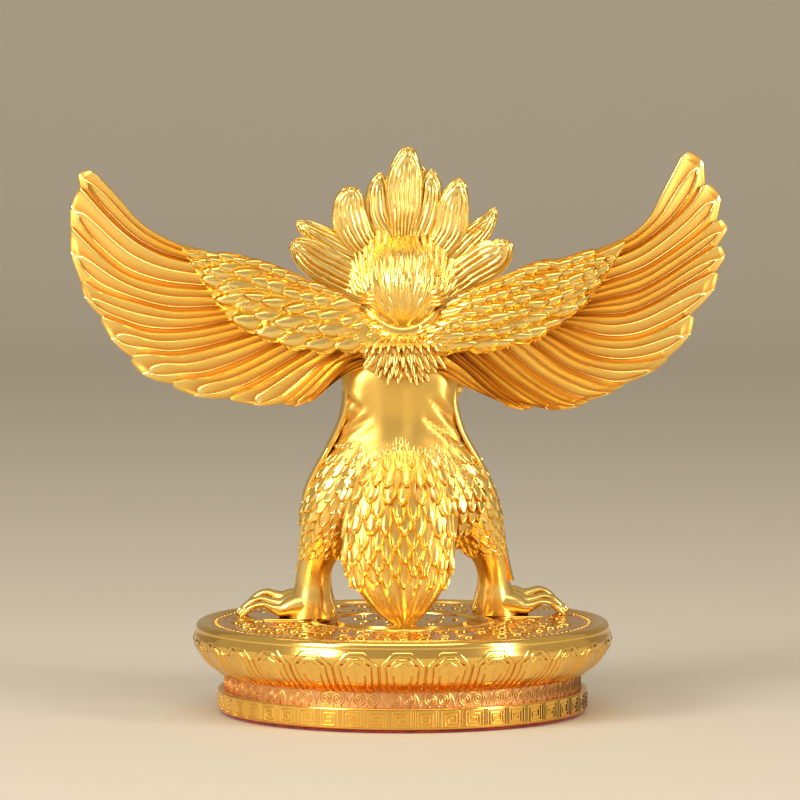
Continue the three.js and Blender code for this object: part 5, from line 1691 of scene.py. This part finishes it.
@dataclass(frozen=True)
class Studio:
    """A pale sweep of paper, soft lights and the camera behind the figure, in metres."""

    camera_place: Spot = (0.0, 0.803, 0.100)
    camera_aim: Spot = (0.00039, 0.0, 0.0473)
    view_width: float = 0.1212  # width in view at the aim
    sensor_mm: float = 36.0
    lamp_aim: Spot = (0, 0, 0.045)
    room_light: float = 0.5
    paper_grains: float = 900.0  # in a metre

    @staticmethod
    def hang(name: str, data: bpy.types.ID, place: Spot, aim: Spot) -> bpy.types.Object:
        """Sets a lamp or a lens at a place, turned to an aim."""
        holder = link(name, data)
        holder.location = place
        holder.rotation_euler = (Vector(aim) - holder.location).to_track_quat("-Z", "Y").to_euler()
        return holder

    def camera(self) -> None:
        """Sets the camera at the photograph's distance, height and width of view."""
        lens = bpy.data.cameras.new("camera")
        away = (Vector(self.camera_aim) - Vector(self.camera_place)).length
        lens.sensor_width = self.sensor_mm
        lens.lens = self.sensor_mm * away / self.view_width
        lens.clip_start, lens.clip_end = 0.01, 20
        bpy.context.scene.camera = self.hang("camera", lens, self.camera_place, self.camera_aim)

    def softbox(self, side: Side, size: tuple[float, float], power: float, tint: str) -> None:
        """Hangs one rectangular softbox that faces the figure."""
        lamp = bpy.data.lights.new(f"softbox_{side.name.lower()}", "AREA")
        lamp.shape = "RECTANGLE"
        lamp.size, lamp.size_y = size
        lamp.energy = power
        lamp.color = linear(tint)[:3]
        self.hang(lamp.name, lamp, side.value, self.lamp_aim)

    def paper(self) -> bpy.types.Object:
        """A sheet of pale paper: flat under the figure, then curving up far in front of it."""
        flat, bend, rise = 0.9, 0.5, 1.4
        turn = np.linspace(0, math.pi / 2, 16)
        y = np.concatenate([[1.6, 0.4, 0.1, -0.1], -flat - bend * np.sin(turn), [-flat - bend]])
        z = np.concatenate([np.zeros(4), bend * (1 - np.cos(turn)), [rise]])
        x = np.linspace(-2, 2, 5)
        points = level(x[None, :], y[:, None], z[:, None]).reshape(-1, 3)
        rows, columns = len(y), len(x)
        low = (np.arange(rows - 1) * columns)[:, None] + np.arange(columns - 1)
        faces = np.stack([low, low + columns, low + columns + 1, low + 1], -1).reshape(-1, 4)
        mesh = bpy.data.meshes.new("paper_sweep")
        mesh.from_pydata(points.tolist(), [], faces.tolist())
        mesh.shade_smooth()
        material, tree = blank_material("matt_background_paper")
        place = add_node(tree, "TexCoord").outputs["Object"]
        tooth = add_node(tree, "TexNoise", {"Vector": place, "Scale": self.paper_grains}).outputs["Fac"]
        normal = relieved(tree, tooth, 0.1, 0.1)
        coat(tree, {"Base Color": linear("#CFC9BD"), "Roughness": 0.7, "Normal": normal})
        mesh.materials.append(material)
        return link("paper_sweep", mesh)

    def room(self) -> None:
        """A room of warm white walls, dimmer than the softboxes that the gold mirrors."""
        world = bpy.data.worlds.new("studio_room")
        world.use_nodes = True
        back = world.node_tree.nodes["Background"]
        back.inputs["Color"].default_value = linear("#F6E8D2")
        back.inputs["Strength"].default_value = self.room_light
        bpy.context.scene.world = world
        bpy.context.scene.view_settings.view_transform = "Standard"

    def build(self) -> None:
        """Sets the camera, the lights and the paper."""
        self.camera()
        self.softbox(Side.LEFT, (0.26, 0.44), 4.3, "#FFF8EC")
        self.softbox(Side.RIGHT, (0.12, 0.40), 2.4, "#FFF6E8")
        self.softbox(Side.ABOVE, (0.6, 0.3), 1.8, "#FFF6E6")
        self.paper()
        self.room()


def build_figure(material: bpy.types.Material) -> bpy.types.Object:
    """Pours every form of the figure into one casting."""
    figure = Figure(Measure.read(), Casting("garuda_casting"))
    parts = (
        Torso(),
        Leg(side=1, stack=LEFT_LEG, foot=(19.2, -6.2), lean=-0.25),
        Leg(side=-1, stack=RIGHT_LEG, foot=(-19.8, -12.0), lean=0.3),
        TailFan(),
        LEFT_WING,
        RIGHT_WING,
        Head(),
        Crest(),
        Nape(),
        Front(),
    )
    for part in parts:
        before = figure.casting.triangles()
        part.cast(figure)
        log.info("%s: %d triangles", type(part).__name__, figure.casting.triangles() - before)
    log.info("figure: %d triangles", figure.casting.triangles())
    return figure.casting.pour(material)


def adopt(piece: bpy.types.Object, node: str) -> None:
    """Lets a piece stand for a CAD node: it hangs on the root body, and the node is hidden."""
    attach(piece, ROOT)
    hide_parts(node)
    log.info("%s stands for %s", piece.name, node)


def main() -> None:
    """Builds the studio and the three pieces of the figurine."""
    logging.basicConfig(level=logging.INFO, format="%(name)s: %(message)s")
    Studio().build()
    gold = GildedCasting("gold_plate_on_cast_zinc")
    # Its pinkish colour for the recesses is painted shade; its crest colour is a painted highlight.
    bright = GildedCasting(
        "bright_gold_plate_on_turned_zinc", crest="#FCD070", plain="#EEB248", recess_shade="#DCA67A",
        crest_roughness=0.13, plain_roughness=0.18, recess_roughness=0.6, skin_depth_mm=0.006,
    )
    plinth = Plinth.read()
    adopt(build_figure(gold.build()), "garuda_figure")
    adopt(plinth.build(bright.build()), "lotus_plinth")
    pad = FeltPad(radius=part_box("felt_pad")[1].x / MM)
    adopt(pad.build(NeedledFelt().build()), "felt_pad")


if __name__ == "__main__":
    main()
